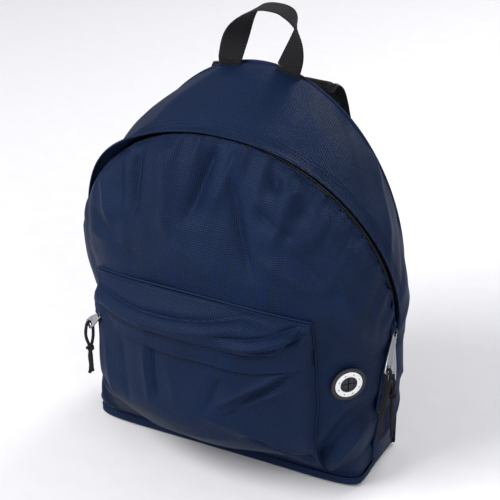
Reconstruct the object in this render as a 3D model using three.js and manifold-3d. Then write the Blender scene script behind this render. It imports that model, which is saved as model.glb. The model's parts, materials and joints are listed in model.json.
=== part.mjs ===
// School backpack, built as separate named pieces. Millimetres, +Z up.
// The origin is the middle of the base, the front faces -Y, and +X is to the right seen from the front.
import * as THREE from "three";
import { mergeVertices } from "three/addons/utils/BufferGeometryUtils.js";
import Module from "manifold-3d";

const wasm = await Module();
wasm.setup();
const { Manifold, Mesh } = wasm;

// Driving dimensions.
const GAP = 0.3; // clearance between neighbouring pieces
const CLOTH = 1.4; // coated fabric with its seam allowances
const BACK_Y = 45; // outer face of the back panel
const BACK_HALF_WIDTH = 153;
const BODY_TOP = 394;
const BASE_HALF_WIDTH = 150;
const BASE_FRONT_Y = -49;
const BASE_CORNER = 9;
const BASE_RIM = 15; // height of the base panel's turned-up edge

const ARCH_RADIUS = 164; // the main zip is an arc of one circle
const ARCH_CENTRE = new THREE.Vector3(5, -17, 199);
const ARCH_LEAN = THREE.MathUtils.degToRad(14.4); // the circle's top leans forward
const ZIP_END_ANGLE = -19; // degrees below the circle's centre, both ends
const ZIP_ZONE = 7; // half width of the strip that the zip fills between the panels

const FRONT_Y = -102; // the front panel's furthest point on the middle line
const BELLY_Z = 175; // height where the front panel is fullest
const ROUNDNESS = 2.15; // power of the front panel's level sections, 2 being an ellipse
const TOP_BULGE = 5; // how far the gusset stands out over the top
const SIDE_BULGE = 9; // the same at the sides, at and below the zip's ends

const POCKET_HALF_WIDTH = 117;
const POCKET_BOTTOM = 16;
const POCKET_TOP = 199;
const POCKET_Y = -125; // the pocket's furthest point
const POCKET_RADIUS = 225; // the pocket's front is a vertical cylinder of this radius
const POCKET_ZIP_Z = 163;
const POCKET_ZONE = 6; // half height of the strip that the pocket's zip fills
const POCKET_SEAM_GAP = 0.8; // the pocket's edges in front of the front panel
const FLAP_HEM_Z = 150;
const FOLD_FRONT_Z = 205; // where the opened front folds over the pocket
const OPEN_ANGLE = 30; // how far the front panel's rim opens, degrees

const FLAP_REACH = 2; // the rain flap's edge in front of the zip's middle line
const FLAP_STAND = 6.8; // its outer face above the zip
const TAPE_REAR = 10; // from the zip's middle line to the tape's edge under the gusset
const TAPE_FRONT = ZIP_ZONE - GAP; // the same at the front panel, which curves away at once
const TAPE_THICK = 0.6;
const TAPE_DEPTH = 2.0; // top of the tape below the fabric's outer face
const CHAIN_GAP = 0.7; // from the middle line to each chain
const CHAIN_WIDTH = 2.2;
const CHAIN_THICK = 1.4;
const CHAIN_DEPTH = 0.3;

const WEB_THICK = 1.6;
const WEB_WIDTH = 25;
const STRAP_WIDTH = 52;
const STRAP_THICK = 11;

// Colours from the object, as base colours.
const NAVY = [0x22304d, 0.78, 0];
const BLACK_WEB = [0x2b2c30, 0.9, 0];
const ZIP_BLACK = [0x141417, 0.6, 0];
const METAL = [0xc4c7cc, 0.28, 1];
const FOAM = [0x8d9096, 0.95, 0];
const RUBBER = [0x1a1a1c, 0.75, 0];
const LIGHT_RING = [0xe6e7e8, 0.45, 0];

const rad = THREE.MathUtils.degToRad;
const vec = (x, y, z) => new THREE.Vector3(x, y, z);
const group = new THREE.Group();

// ---- Solids ----

// A closed three.js geometry as a manifold solid.
function solid(geometry, place = new THREE.Matrix4()) {
  const bare = geometry.clone();
  bare.deleteAttribute("normal");
  bare.deleteAttribute("uv");
  bare.applyMatrix4(place);
  const merged = mergeVertices(bare, 1e-4);
  const triangles = [];
  for (let i = 0; i < merged.index.count; i += 3) {
    const [a, b, c] = [0, 1, 2].map((k) => merged.index.getX(i + k));
    if (a !== b && b !== c && c !== a) triangles.push(a, b, c);
  }
  const vertProperties = new Float32Array(merged.attributes.position.array);
  return new Manifold(new Mesh({ numProp: 3, vertProperties, triVerts: new Uint32Array(triangles) }));
}

// Adds a manifold solid to the group as one named mesh.
function add(name, body, [color, roughness, metalness]) {
  const mesh = body.getMesh();
  const geometry = new THREE.BufferGeometry();
  geometry.setAttribute("position", new THREE.BufferAttribute(new Float32Array(mesh.vertProperties), 3));
  geometry.setIndex(new THREE.BufferAttribute(new Uint32Array(mesh.triVerts), 1));
  geometry.computeVertexNormals();
  const part = new THREE.Mesh(geometry, new THREE.MeshStandardMaterial({ color, roughness, metalness }));
  part.name = name;
  group.add(part);
}

// A slab between two point grids of the same size: the outer face and the inner face.
function slab(outer, inner) {
  const rows = outer.length;
  const columns = outer[0].length;
  const points = [...outer.flat(), ...inner.flat()];
  const index = [];
  const at = (side, i, j) => side * rows * columns + i * columns + j;
  const quad = (a, b, c, d) => index.push(a, b, c, a, c, d);
  for (let i = 0; i < rows - 1; i++) {
    for (let j = 0; j < columns - 1; j++) {
      quad(at(0, i, j), at(0, i, j + 1), at(0, i + 1, j + 1), at(0, i + 1, j));
      quad(at(1, i, j), at(1, i + 1, j), at(1, i + 1, j + 1), at(1, i, j + 1));
    }
    quad(at(0, i, 0), at(0, i + 1, 0), at(1, i + 1, 0), at(1, i, 0));
    quad(at(0, i + 1, columns - 1), at(0, i, columns - 1), at(1, i, columns - 1), at(1, i + 1, columns - 1));
  }
  for (let j = 0; j < columns - 1; j++) {
    quad(at(0, 0, j + 1), at(0, 0, j), at(1, 0, j), at(1, 0, j + 1));
    quad(at(0, rows - 1, j), at(0, rows - 1, j + 1), at(1, rows - 1, j + 1), at(1, rows - 1, j));
  }
  const geometry = new THREE.BufferGeometry().setFromPoints(points);
  geometry.setIndex(index);
  const body = solid(geometry);
  if (body.volume() > 0) return body;
  geometry.setIndex(index.reverse());
  return solid(geometry);
}

// The same slab from a surface function of (row, column, depth below the outer face).
function sheet(surface, rowValues, columnValues, top, bottom) {
  const grid = (depth) => rowValues.map((r) => columnValues.map((c) => surface(r, c, depth)));
  return slab(grid(top), grid(bottom));
}

// Evenly spaced values from a to b.
const steps = (a, b, count) => Array.from({ length: count + 1 }, (_, i) => a + ((b - a) * i) / count);

// The part of a solid on the side of a plane that the normal points to.
const keep = (body, normal, point) => {
  const n = normal.clone().normalize();
  return body.trimByPlane(n.toArray(), n.dot(point));
};

// A box from its low corner to its high corner.
function box(low, high, place) {
  const geometry = new THREE.BoxGeometry(high[0] - low[0], high[1] - low[1], high[2] - low[2]);
  geometry.translate((low[0] + high[0]) / 2, (low[1] + high[1]) / 2, (low[2] + high[2]) / 2);
  return solid(geometry, place);
}

// A round tube along a smooth curve through the points.
function tube(points, radius, segments) {
  const circle = new THREE.Shape().absarc(0, 0, radius, 0, 2 * Math.PI);
  const path = new THREE.CatmullRomCurve3(points);
  return solid(new THREE.ExtrudeGeometry(circle, { steps: segments, curveSegments: 4, extrudePath: path }));
}

// A flat strip: each station has a centre, a direction across its width and a direction through it.
function strip(stations, width, thick) {
  const side = (through) =>
    stations.map(({ centre, across, normal }) =>
      [-0.5, 0.5].map((k) =>
        centre.clone().addScaledVector(across, k * width).addScaledVector(normal, through * thick),
      ),
    );
  return slab(side(0.5), side(-0.5));
}

// ---- The shape of the bag ----

const archUp = vec(0, -Math.sin(ARCH_LEAN), Math.cos(ARCH_LEAN));
const archForward = vec(0, -Math.cos(ARCH_LEAN), -Math.sin(ARCH_LEAN));

// A point of the zip's arc, moved forward across the zip and outward from the circle's centre.
function zipPoint(degrees, forward, out) {
  const a = rad(degrees);
  return ARCH_CENTRE.clone()
    .addScaledVector(vec(1, 0, 0), (ARCH_RADIUS + out) * Math.cos(a))
    .addScaledVector(archUp, (ARCH_RADIUS + out) * Math.sin(a))
    .addScaledVector(archForward, forward);
}

const RIM_END = zipPoint(ZIP_END_ANGLE, ZIP_ZONE, 0);
const RIM_TOP = zipPoint(90, ZIP_ZONE, 0);
const ZIP_END = zipPoint(ZIP_END_ANGLE, 0, 0);

const RIM_END_HALF_WIDTH = RIM_END.x - ARCH_CENTRE.x;

function ease(t) {
  const u = Math.min(t, 1);
  return u * u * (3 - 2 * u);
}

// How far right the front panel's middle stands at a height: the zip's circle is off centre.
const lean = (z) => ARCH_CENTRE.x * ease(z / RIM_END.z);

// The front panel's edge at a height: on the zip's circle, and below it on a line to the base.
// Its x is the half width about the panel's own middle.
function rim(z) {
  if (z < RIM_END.z) {
    const x = BASE_HALF_WIDTH + (RIM_END_HALF_WIDTH - BASE_HALF_WIDTH) * ease(z / RIM_END.z);
    return { x, y: RIM_END.y };
  }
  const up = (z - ARCH_CENTRE.z + ZIP_ZONE * Math.sin(ARCH_LEAN)) / Math.cos(ARCH_LEAN);
  return {
    x: Math.sqrt(Math.max(ARCH_RADIUS ** 2 - up ** 2, 0)),
    y: ARCH_CENTRE.y - up * Math.sin(ARCH_LEAN) - ZIP_ZONE * Math.cos(ARCH_LEAN),
  };
}

// How far the front panel stands in front of its edge, on the middle line.
function frontDepth(z) {
  if (z < BELLY_Z) {
    const t = Math.max(z - BASE_RIM, 0) / (BELLY_Z - BASE_RIM);
    return rim(z).y - BASE_FRONT_Y + (BASE_FRONT_Y - FRONT_Y) * (1 - (1 - t) ** 3);
  }
  const t = (z - BELLY_Z) / (RIM_TOP.z - BELLY_Z);
  return (rim(BELLY_Z).y - FRONT_Y) * Math.max(1 - t * t, 0);
}

// The roundness of the front panel's level sections: nearly square at the base, round above.
function frontPower(z) {
  const t = Math.min(Math.max(z - BASE_RIM, 0) / 95, 1);
  return ROUNDNESS + 6.5 * (1 - t) ** 2;
}

// A point of the front panel: its height, an angle from the right edge (0) to the left (180), a depth.
function frontPoint(z, degrees, depth) {
  const a = rad(degrees);
  const e = 2 / frontPower(z);
  const edge = rim(z);
  const drop = (depth * Math.max(z - RIM_END.z, 0)) / (RIM_TOP.z - RIM_END.z);
  return vec(
    lean(z) + Math.max(edge.x - depth, 0) * Math.sign(Math.cos(a)) * Math.abs(Math.cos(a)) ** e,
    edge.y - Math.max(frontDepth(z) - depth, 0) * Math.abs(Math.sin(a)) ** e,
    z - drop,
  );
}

// The front panel's y at a place on it.
function frontY(x, z) {
  const p = frontPower(z);
  const across = Math.min(Math.abs(x - lean(z)) / rim(z).x, 1);
  return rim(z).y - frontDepth(z) * (1 - across ** p) ** (1 / p);
}

// A point of the back panel's outline, matched to an angle on the zip's circle.
function backPoint(degrees, depth, z) {
  const a = rad(degrees);
  const e = 2 / 1.93;
  const x = (BACK_HALF_WIDTH - depth) * Math.sign(Math.cos(a));
  if (Math.sin(a) < 0) return vec(x, BACK_Y, z);
  const rise = (BODY_TOP - ARCH_CENTRE.z - depth) * Math.sin(a) ** e;
  return vec(x * Math.abs(Math.cos(a)) ** e, BACK_Y, ARCH_CENTRE.z + rise);
}

// A point of the gusset: from the zip zone (0) to the back panel (1).
function gussetPoint(degrees, across, depth) {
  const start = zipPoint(degrees, -ZIP_ZONE, -depth);
  const end = backPoint(degrees, depth, start.z);
  const a = rad(degrees);
  const outward = vec(Math.cos(a), 0, Math.max(Math.sin(a), 0)).normalize();
  const low = Math.min(Math.max((20 - (90 - Math.abs(degrees - 90))) / 40, 0), 1);
  const bulge = TOP_BULGE + (SIDE_BULGE - TOP_BULGE) * low;
  return start.lerp(end, across).addScaledVector(outward, bulge * 4 * across * (1 - across));
}

// A point of a side panel below the zip's end: height, and from the front panel (0) to the back (1).
function sidePoint(z, across, depth, side) {
  const edge = rim(z);
  const backX = BASE_HALF_WIDTH + ((BACK_HALF_WIDTH - BASE_HALF_WIDTH) * z) / RIM_END.z;
  const bulge = SIDE_BULGE * 4 * across * (1 - across) * Math.sqrt(z / RIM_END.z);
  const x = edge.x + (backX - edge.x) * across + bulge;
  const y = edge.y + GAP + (BACK_Y - edge.y - GAP) * across;
  return vec(side * (x - depth) + lean(z) * (1 - across), y, z);
}

// A point of the pocket's front face, pushed out from the front panel.
function pocketPoint(z, x, depth) {
  const up = Math.min((z - POCKET_BOTTOM) / 60, 1);
  const down = Math.min((POCKET_TOP - z) / 28, 1);
  const fullness = Math.sin((Math.PI / 2) * up) * Math.sin((Math.PI / 2) * down);
  const middle = frontY(0, z) + (POCKET_Y - frontY(0, z)) * fullness;
  const round = middle + POCKET_RADIUS - Math.sqrt(POCKET_RADIUS ** 2 - x ** 2);
  const wall = Math.min((POCKET_HALF_WIDTH - Math.abs(x)) / 6, 1);
  const out = Math.max((frontY(x, z) - round) * wall, 0) + CLOTH + POCKET_SEAM_GAP;
  return vec(x, frontY(x, z) - out + depth, z);
}

// ---- Base, back and gusset ----

function outline(halfWidth, frontY0, backY, corner) {
  const shape = new THREE.Shape();
  shape.moveTo(halfWidth, backY);
  shape.lineTo(-halfWidth, backY);
  shape.lineTo(-halfWidth, frontY0 + corner);
  shape.quadraticCurveTo(-halfWidth, frontY0, -halfWidth + corner, frontY0);
  shape.lineTo(halfWidth - corner, frontY0);
  shape.quadraticCurveTo(halfWidth, frontY0, halfWidth, frontY0 + corner);
  return shape;
}

function extrude(shape, depth, curveSegments = 6) {
  return solid(new THREE.ExtrudeGeometry(shape, { depth, curveSegments, bevelEnabled: false }));
}

const innerBackY = BACK_Y - CLOTH - GAP;

function basePanel() {
  const outer = extrude(outline(BASE_HALF_WIDTH, BASE_FRONT_Y, innerBackY, BASE_CORNER), BASE_RIM);
  const hollow = extrude(
    outline(BASE_HALF_WIDTH - CLOTH, BASE_FRONT_Y + CLOTH, innerBackY - CLOTH, BASE_CORNER),
    BASE_RIM,
  );
  return outer.subtract(hollow.translate(0, 0, CLOTH));
}

// An arch-shaped plate with the back panel's outline, inset all round, between two y planes.
function archPlate(inset, lowY, highY, bottom) {
  const shape = new THREE.Shape();
  const half = BASE_HALF_WIDTH - inset;
  shape.moveTo(-half, bottom);
  shape.lineTo(half, bottom);
  for (const degrees of steps(0, 180, 30)) {
    const p = backPoint(degrees, inset, 0);
    shape.lineTo(p.x, p.z);
  }
  const stand = new THREE.Matrix4().makeRotationX(Math.PI / 2).setPosition(0, highY, 0);
  const geometry = new THREE.ExtrudeGeometry(shape, { depth: highY - lowY, bevelEnabled: false });
  return solid(geometry, stand);
}

function buildBack() {
  add("base_panel", basePanel(), NAVY);
  add("back_panel", archPlate(0, BACK_Y - CLOTH, BACK_Y, 0), NAVY);
  add("back_foam_pad", archPlate(14, 34.4, 42.4, 20), FOAM);
  add("back_lining", archPlate(11, 33.2, 34.1, 18), NAVY);
}

function buildGusset() {
  const band = sheet(gussetPoint, steps(-20, 200, 36), [0, 0.25, 0.5, 0.75, 1], 0, CLOTH);
  add("gusset_band", keep(band, vec(0, -1, 0), vec(0, innerBackY, 0)), NAVY);
  for (const [name, side] of [["side_panel_right", 1], ["side_panel_left", -1]]) {
    const face = (z, across, depth) => sidePoint(z, across, depth, side);
    const top = RIM_END.z - GAP;
    const panel = sheet(face, steps(BASE_RIM + GAP, top, 6), [0, 0.3, 0.65, 1], 0, CLOTH);
    add(name, keep(panel, vec(0, -1, 0), vec(0, innerBackY, 0)), NAVY);
  }
}

// The rain flap starts on the gusset and stands over the zip.
function rainFlapPoint(degrees, row, depth) {
  if (row < 0) return gussetPoint(degrees, -row * 0.14, depth - GAP - 1.2);
  return zipPoint(degrees, -ZIP_ZONE + row * (ZIP_ZONE + FLAP_REACH), FLAP_STAND - depth);
}

function buildRainFlap() {
  const flap = sheet(rainFlapPoint, steps(-4, 184, 32), [-1, 0.15, 0.6, 1], 0, 1.2);
  add("rain_flap", flap, NAVY);
}

// ---- Front panel, split where it folds when the zip is open ----

// Normal of the plane through both zip ends at an angle above level, facing up and back.
const foldNormal = (degrees) => vec(0, Math.sin(rad(degrees)), Math.cos(rad(degrees)));
const FOLD_LOW = THREE.MathUtils.radToDeg(
  Math.atan2(FOLD_FRONT_Z - ZIP_END.z, ZIP_END.y - FRONT_Y),
);
const FOLD_HIGH = FOLD_LOW + OPEN_ANGLE + 1;

function buildFrontPanel() {
  const heights = [
    ...steps(BASE_RIM + GAP, 60, 4),
    ...steps(80, RIM_END.z, 3),
    ...steps(160, 340, 9),
    350,
    RIM_TOP.z,
  ];
  const panel = sheet(frontPoint, heights, steps(0, 180, 24), 0, CLOTH);
  const low = foldNormal(FOLD_LOW);
  const high = foldNormal(FOLD_HIGH);
  const above = keep(panel, low, ZIP_END.clone().addScaledVector(low, GAP));
  const lower = keep(panel, low.clone().negate(), ZIP_END);
  add("front_panel_lower", lower.subtract(portHole()), NAVY);
  const fold = keep(above, high.clone().negate(), ZIP_END.clone().addScaledVector(high, -GAP));
  add("front_panel_fold", fold, NAVY);
  add("front_panel_upper", keep(above, high, ZIP_END), NAVY);
}

// ---- Main zip ----

// A ring sector on the zip's arc, from one distance across the zip to another.
function zipSector(from, to, near, far, depth, thick, count) {
  const face = (degrees, across, down) => zipPoint(degrees, across, -down);
  return sheet(face, steps(from, to, count), [near, far], depth, depth + thick);
}

// Pieces of the front half of the zip end where the front panel starts to fold.
const frontOnly = (body) => keep(body, foldNormal(FOLD_HIGH), ZIP_END);

function buildMainZip() {
  const [from, to] = [ZIP_END_ANGLE, 180 - ZIP_END_ANGLE];
  const tape = (near, far) => zipSector(from, to, near, far, TAPE_DEPTH, TAPE_THICK, 36);
  const chain = (near, far) => zipSector(from + 1, to - 1, near, far, CHAIN_DEPTH, CHAIN_THICK, 36);
  add("main_zip_tape_rear", tape(-TAPE_REAR, -CHAIN_GAP), ZIP_BLACK);
  add("main_zip_tape_front", frontOnly(tape(CHAIN_GAP, TAPE_FRONT)), ZIP_BLACK);
  add("main_zip_chain_rear", chain(-CHAIN_GAP - CHAIN_WIDTH, -CHAIN_GAP), ZIP_BLACK);
  add("main_zip_chain_front", frontOnly(chain(CHAIN_GAP, CHAIN_GAP + CHAIN_WIDTH)), ZIP_BLACK);
}

// ---- Sliders, pull tabs and cords ----
// Each is drawn in a frame of its own: x along the zip towards its far end, y across it, z outward.

const PLATE_TOP = 1.5;
const BRIDGE_TOP = 4.6;
const BAR_Z = 2.45;
const TAB_LENGTH = 43;
const TAB_WIDTH = 10;
const TAB_THICK = 1.2;
const CORD_RADIUS = 1.4;
const KNOT_RADIUS = 3.2;

function sliderBody() {
  const topPlate = box([-5.5, -4.5, 0.3], [5.5, 4.5, PLATE_TOP]);
  const bottomPlate = box([-5, -4.5, -3.9], [5, 4.5, -2.9]);
  const post = box([3, -0.4, -3.2], [5, 0.4, 0.6]);
  const bridge = box([-3.2, -0.8, PLATE_TOP - 0.2], [3.2, 0.8, BRIDGE_TOP]);
  const eye = box([-2.2, -1, PLATE_TOP + 0.1], [2.2, 1, BRIDGE_TOP - 1]);
  return topPlate.add(bottomPlate).add(post).add(bridge.subtract(eye));
}

// The tab hangs from its bar, at the frame's origin, along -x.
function tabBody(length) {
  const bar = box([-0.6, -4.2, -0.45], [0.6, 4.2, 0.45]);
  const armRight = box([-7, 3.2, -0.45], [0.6, 4.2, 0.45]);
  const armLeft = box([-7, -4.2, -0.45], [0.6, -3.2, 0.45]);
  const plate = box([-length, -TAB_WIDTH / 2, -TAB_THICK / 2], [-6, TAB_WIDTH / 2, TAB_THICK / 2]);
  const hole = box([-length + 2, -3, -2], [-length + 9, 3, 2]);
  return bar.add(armRight).add(armLeft).add(plate.subtract(hole));
}

// A cord loop through the tab's hole, its knot and two ends. The loop hangs from `eye`, straight down.
function cordBody(eye, hang, outward, along, loopLength, endLength) {
  const at = (down, out, side) =>
    eye.clone().addScaledVector(hang, down).addScaledVector(outward, out).addScaledVector(along, side);
  const knotAt = at(loopLength, 0.4, 0);
  const front = 3.6;
  const loop = tube(
    [knotAt, at(loopLength * 0.5, front, -2), at(1, front - 0.4, -0.6), at(-2.2, 0, 0), at(1, -3.2, 0.6),
      at(loopLength * 0.5, -1.6, 2), knotAt],
    CORD_RADIUS,
    18,
  );
  const ball = new THREE.SphereGeometry(KNOT_RADIUS, 8, 6);
  const knot = solid(ball, new THREE.Matrix4().makeTranslation(knotAt.x, knotAt.y, knotAt.z));
  const end = (side, extra) =>
    tube(
      [knotAt, at(loopLength + endLength * 0.5, 0.4, side), at(loopLength + endLength + extra, 0.4, side * 1.6)],
      CORD_RADIUS,
      5,
    );
  return loop.add(knot).add(end(2, 0)).add(end(-2, 5));
}

// A frame from a point, the zip's direction and the outward direction.
function frameAt(origin, forward, outward) {
  const z = outward.clone().normalize();
  const x = forward.clone().addScaledVector(z, -forward.dot(z)).normalize();
  return new THREE.Matrix4().makeBasis(x, z.clone().cross(x), z).setPosition(origin);
}

// Slider, tab and cord at one place. swivel turns the tab about the outward direction, lift raises it.
function addPull(names, frame, swivel, lift, tabLength, loopLength, endLength) {
  add(names.slider, solidMoved(sliderBody(), frame), METAL);
  const tabFrame = frame
    .clone()
    .multiply(new THREE.Matrix4().makeTranslation(0, 0, BAR_Z))
    .multiply(new THREE.Matrix4().makeRotationZ(rad(swivel)))
    .multiply(new THREE.Matrix4().makeRotationY(rad(lift)));
  add(names.tab, solidMoved(tabBody(tabLength), tabFrame), METAL);
  const eye = vec(-tabLength + 3.5, 0, 0).applyMatrix4(tabFrame);
  const outward = vec(0, 0, 1).transformDirection(frame);
  outward.z = 0;
  outward.normalize();
  const along = vec(0, 0, 1).cross(outward);
  add(names.cord, cordBody(eye, vec(0, 0, -1), outward, along, loopLength, endLength), BLACK_WEB);
}

function solidMoved(body, matrix) {
  return body.transform(matrix.toArray());
}

const SLIDER_A_ANGLE = -11.4;
const SLIDER_B_ANGLE = -16.5;

function zipFrame(degrees) {
  const outward = zipPoint(degrees, 0, 1).sub(zipPoint(degrees, 0, 0));
  const forward = zipPoint(degrees + 1, 0, 0).sub(zipPoint(degrees - 1, 0, 0));
  return frameAt(zipPoint(degrees, 0, 0), forward, outward);
}

function buildPulls() {
  const nameSet = (end) => ({ slider: `zip_slider_${end}`, tab: `pull_tab_${end}`, cord: `pull_cord_${end}` });
  addPull(nameSet("a"), zipFrame(SLIDER_A_ANGLE), -56, 13, TAB_LENGTH, 38, 24);
  addPull(nameSet("b"), zipFrame(SLIDER_B_ANGLE), -26, 20, TAB_LENGTH, 20, 46);
}

// ---- Front pocket ----

const pocketAxisY = POCKET_Y + POCKET_RADIUS;

// A point on the pocket's cylinder: degrees from the middle, height, distance outward.
function pocketZipPoint(degrees, z, out) {
  const r = POCKET_RADIUS + CLOTH + POCKET_SEAM_GAP + out;
  return vec(r * Math.sin(rad(degrees)), pocketAxisY - r * Math.cos(rad(degrees)), z);
}

const POCKET_ZIP_REACH = 28.5; // degrees each side of the middle
const POCKET_SLIDER_START = -27.2;

function pocketSector(lowZ, highZ, depth, thick) {
  const face = (degrees, z, down) => pocketZipPoint(degrees, z, -down);
  return sheet(face, steps(-POCKET_ZIP_REACH, POCKET_ZIP_REACH, 16), [lowZ, highZ], depth, depth + thick);
}

// The flap hangs from the pocket's top edge and stands clear of the pocket zip below it.
function flapPoint(z, x, depth) {
  const stand = 3.5 + 4 * Math.min((POCKET_TOP - 4 - z) / 26, 1);
  return pocketPoint(z, x, depth - stand);
}

function buildPocket() {
  const edge = [-117, -114, -111, -104];
  const across = [...edge, ...steps(-90, 90, 10), ...edge.map((x) => -x).reverse()];
  const lower = sheet(pocketPoint, steps(POCKET_BOTTOM, POCKET_ZIP_Z - POCKET_ZONE, 9), across, 0, CLOTH);
  const upper = sheet(pocketPoint, steps(POCKET_ZIP_Z + POCKET_ZONE, POCKET_TOP, 4), across, 0, CLOTH);
  add("pocket_body", lower, NAVY);
  add("pocket_top_strip", upper, NAVY);
  const flap = sheet(flapPoint, steps(FLAP_HEM_Z, POCKET_TOP - 4, 6), steps(-100, 100, 14), 0, 1.2);
  add("pocket_flap", flap, NAVY);
  const half = POCKET_ZONE + 2;
  const z = POCKET_ZIP_Z;
  add("pocket_zip_tape_lower", pocketSector(z - half, z - CHAIN_GAP, TAPE_DEPTH, TAPE_THICK), ZIP_BLACK);
  add("pocket_zip_tape_upper", pocketSector(z + CHAIN_GAP, z + half, TAPE_DEPTH, TAPE_THICK), ZIP_BLACK);
  const chain = CHAIN_GAP + CHAIN_WIDTH;
  add("pocket_zip_chain_lower", pocketSector(z - chain, z - CHAIN_GAP, CHAIN_DEPTH, CHAIN_THICK), ZIP_BLACK);
  add("pocket_zip_chain_upper", pocketSector(z + CHAIN_GAP, z + chain, CHAIN_DEPTH, CHAIN_THICK), ZIP_BLACK);
  const here = pocketZipPoint(POCKET_SLIDER_START, z, 0);
  const outward = pocketZipPoint(POCKET_SLIDER_START, z, 1).sub(here);
  const forward = pocketZipPoint(POCKET_SLIDER_START + 1, z, 0).sub(here);
  const names = { slider: "pocket_slider", tab: "pocket_pull_tab", cord: "pocket_pull_cord" };
  addPull(names, frameAt(here, forward, outward), 45, 4, 30, 28, 26);
}

// ---- Cable port ----

const PORT_Z = 128;
const PORT_ANGLE = 29.5; // around the front panel from its right edge
const PORT_RADIUS = 18;

function portFrame() {
  const here = frontPoint(PORT_Z, PORT_ANGLE, 0);
  const side = frontPoint(PORT_Z, PORT_ANGLE + 2, 0).sub(frontPoint(PORT_Z, PORT_ANGLE - 2, 0));
  const up = frontPoint(PORT_Z + 4, PORT_ANGLE, 0).sub(frontPoint(PORT_Z - 4, PORT_ANGLE, 0));
  return frameAt(here, up, up.clone().cross(side));
}

// A disc or ring about the port's own outward axis, from one height to another.
function portRing(inner, outer, low, high) {
  const profile = [[inner, low], [outer, low], [outer, high], [inner, high], [inner, low]];
  const points = profile.map(([r, h]) => new THREE.Vector2(r, h));
  const geometry = new THREE.LatheGeometry(points, 28);
  geometry.rotateX(Math.PI / 2);
  const body = solid(geometry);
  return body.volume() > 0 ? body : solid(geometry.scale(-1, 1, 1));
}

function portHole() {
  return solidMoved(Manifold.cylinder(30, PORT_RADIUS - 3, PORT_RADIUS - 3, 28, true), portFrame());
}

function buildPort() {
  const frame = portFrame();
  const slit = box([-5, -0.5, -5], [5, 0.5, 5]).add(box([-0.5, -5, -5], [0.5, 5, 5]));
  const rimDisc = portRing(0, PORT_RADIUS, 2.3, 3.7).subtract(portRing(8.3, 14.3, 2.8, 5));
  const neck = portRing(0, PORT_RADIUS - 3.8, -7.2, 2.4).subtract(portRing(0, 11, -8, -1));
  add("cable_port_grommet", solidMoved(rimDisc.add(neck).subtract(slit), frame), RUBBER);
  add("cable_port_ring", solidMoved(portRing(8.6, 14, 3.1, 4.1), frame), LIGHT_RING);
  add("cable_port_washer", solidMoved(portRing(PORT_RADIUS - 3.5, PORT_RADIUS, -7.2, -6.0), frame), RUBBER);
}

// ---- Carry handle, straps and their hardware ----

const HANDLE_Y = 37;
const HANDLE_BASE_Z = 394;
const HANDLE_RISE = 60;
const HANDLE_HALF = 34;
const HANDLE_LEAN = 13; // how far the loop's top leans to the right

// The webbing faces forward at its ends and turns a quarter so that it lies flat in the hand.
function handleStation(degrees) {
  const a = rad(degrees);
  const turn = (Math.PI / 2) * Math.min(Math.sin(a) ** 1.5 * 1.05, 1);
  const x = -HANDLE_HALF * Math.sign(Math.cos(a)) * Math.abs(Math.cos(a)) ** 0.75;
  const side = x > 0 ? -1 : 1;
  const across = vec(side * Math.cos(turn), Math.sin(turn), 0);
  const rise = Math.sin(a) ** 0.85;
  const centre = vec(x + HANDLE_LEAN * rise, HANDLE_Y, HANDLE_BASE_Z + HANDLE_RISE * rise);
  return { centre, across };
}

// Adds the direction through the strip, from the path's direction and the width's.
function withNormals(stations) {
  return stations.map((s, i) => {
    const before = stations[Math.max(i - 1, 0)].centre;
    const after = stations[Math.min(i + 1, stations.length - 1)].centre;
    const forward = after.clone().sub(before).normalize();
    const normal = s.across.clone().cross(forward).normalize();
    return { centre: s.centre, across: forward.clone().cross(normal).normalize(), normal };
  });
}

function buildHandle() {
  const stations = steps(0, 180, 24).map(handleStation);
  add("carry_handle", strip(withNormals(stations), WEB_WIDTH, WEB_THICK), BLACK_WEB);
}

const STRAP_TOP = vec(42, BACK_Y + 15.5, 371);
const SIDE_TAB = vec(138, BACK_Y + 3, 24);

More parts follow.
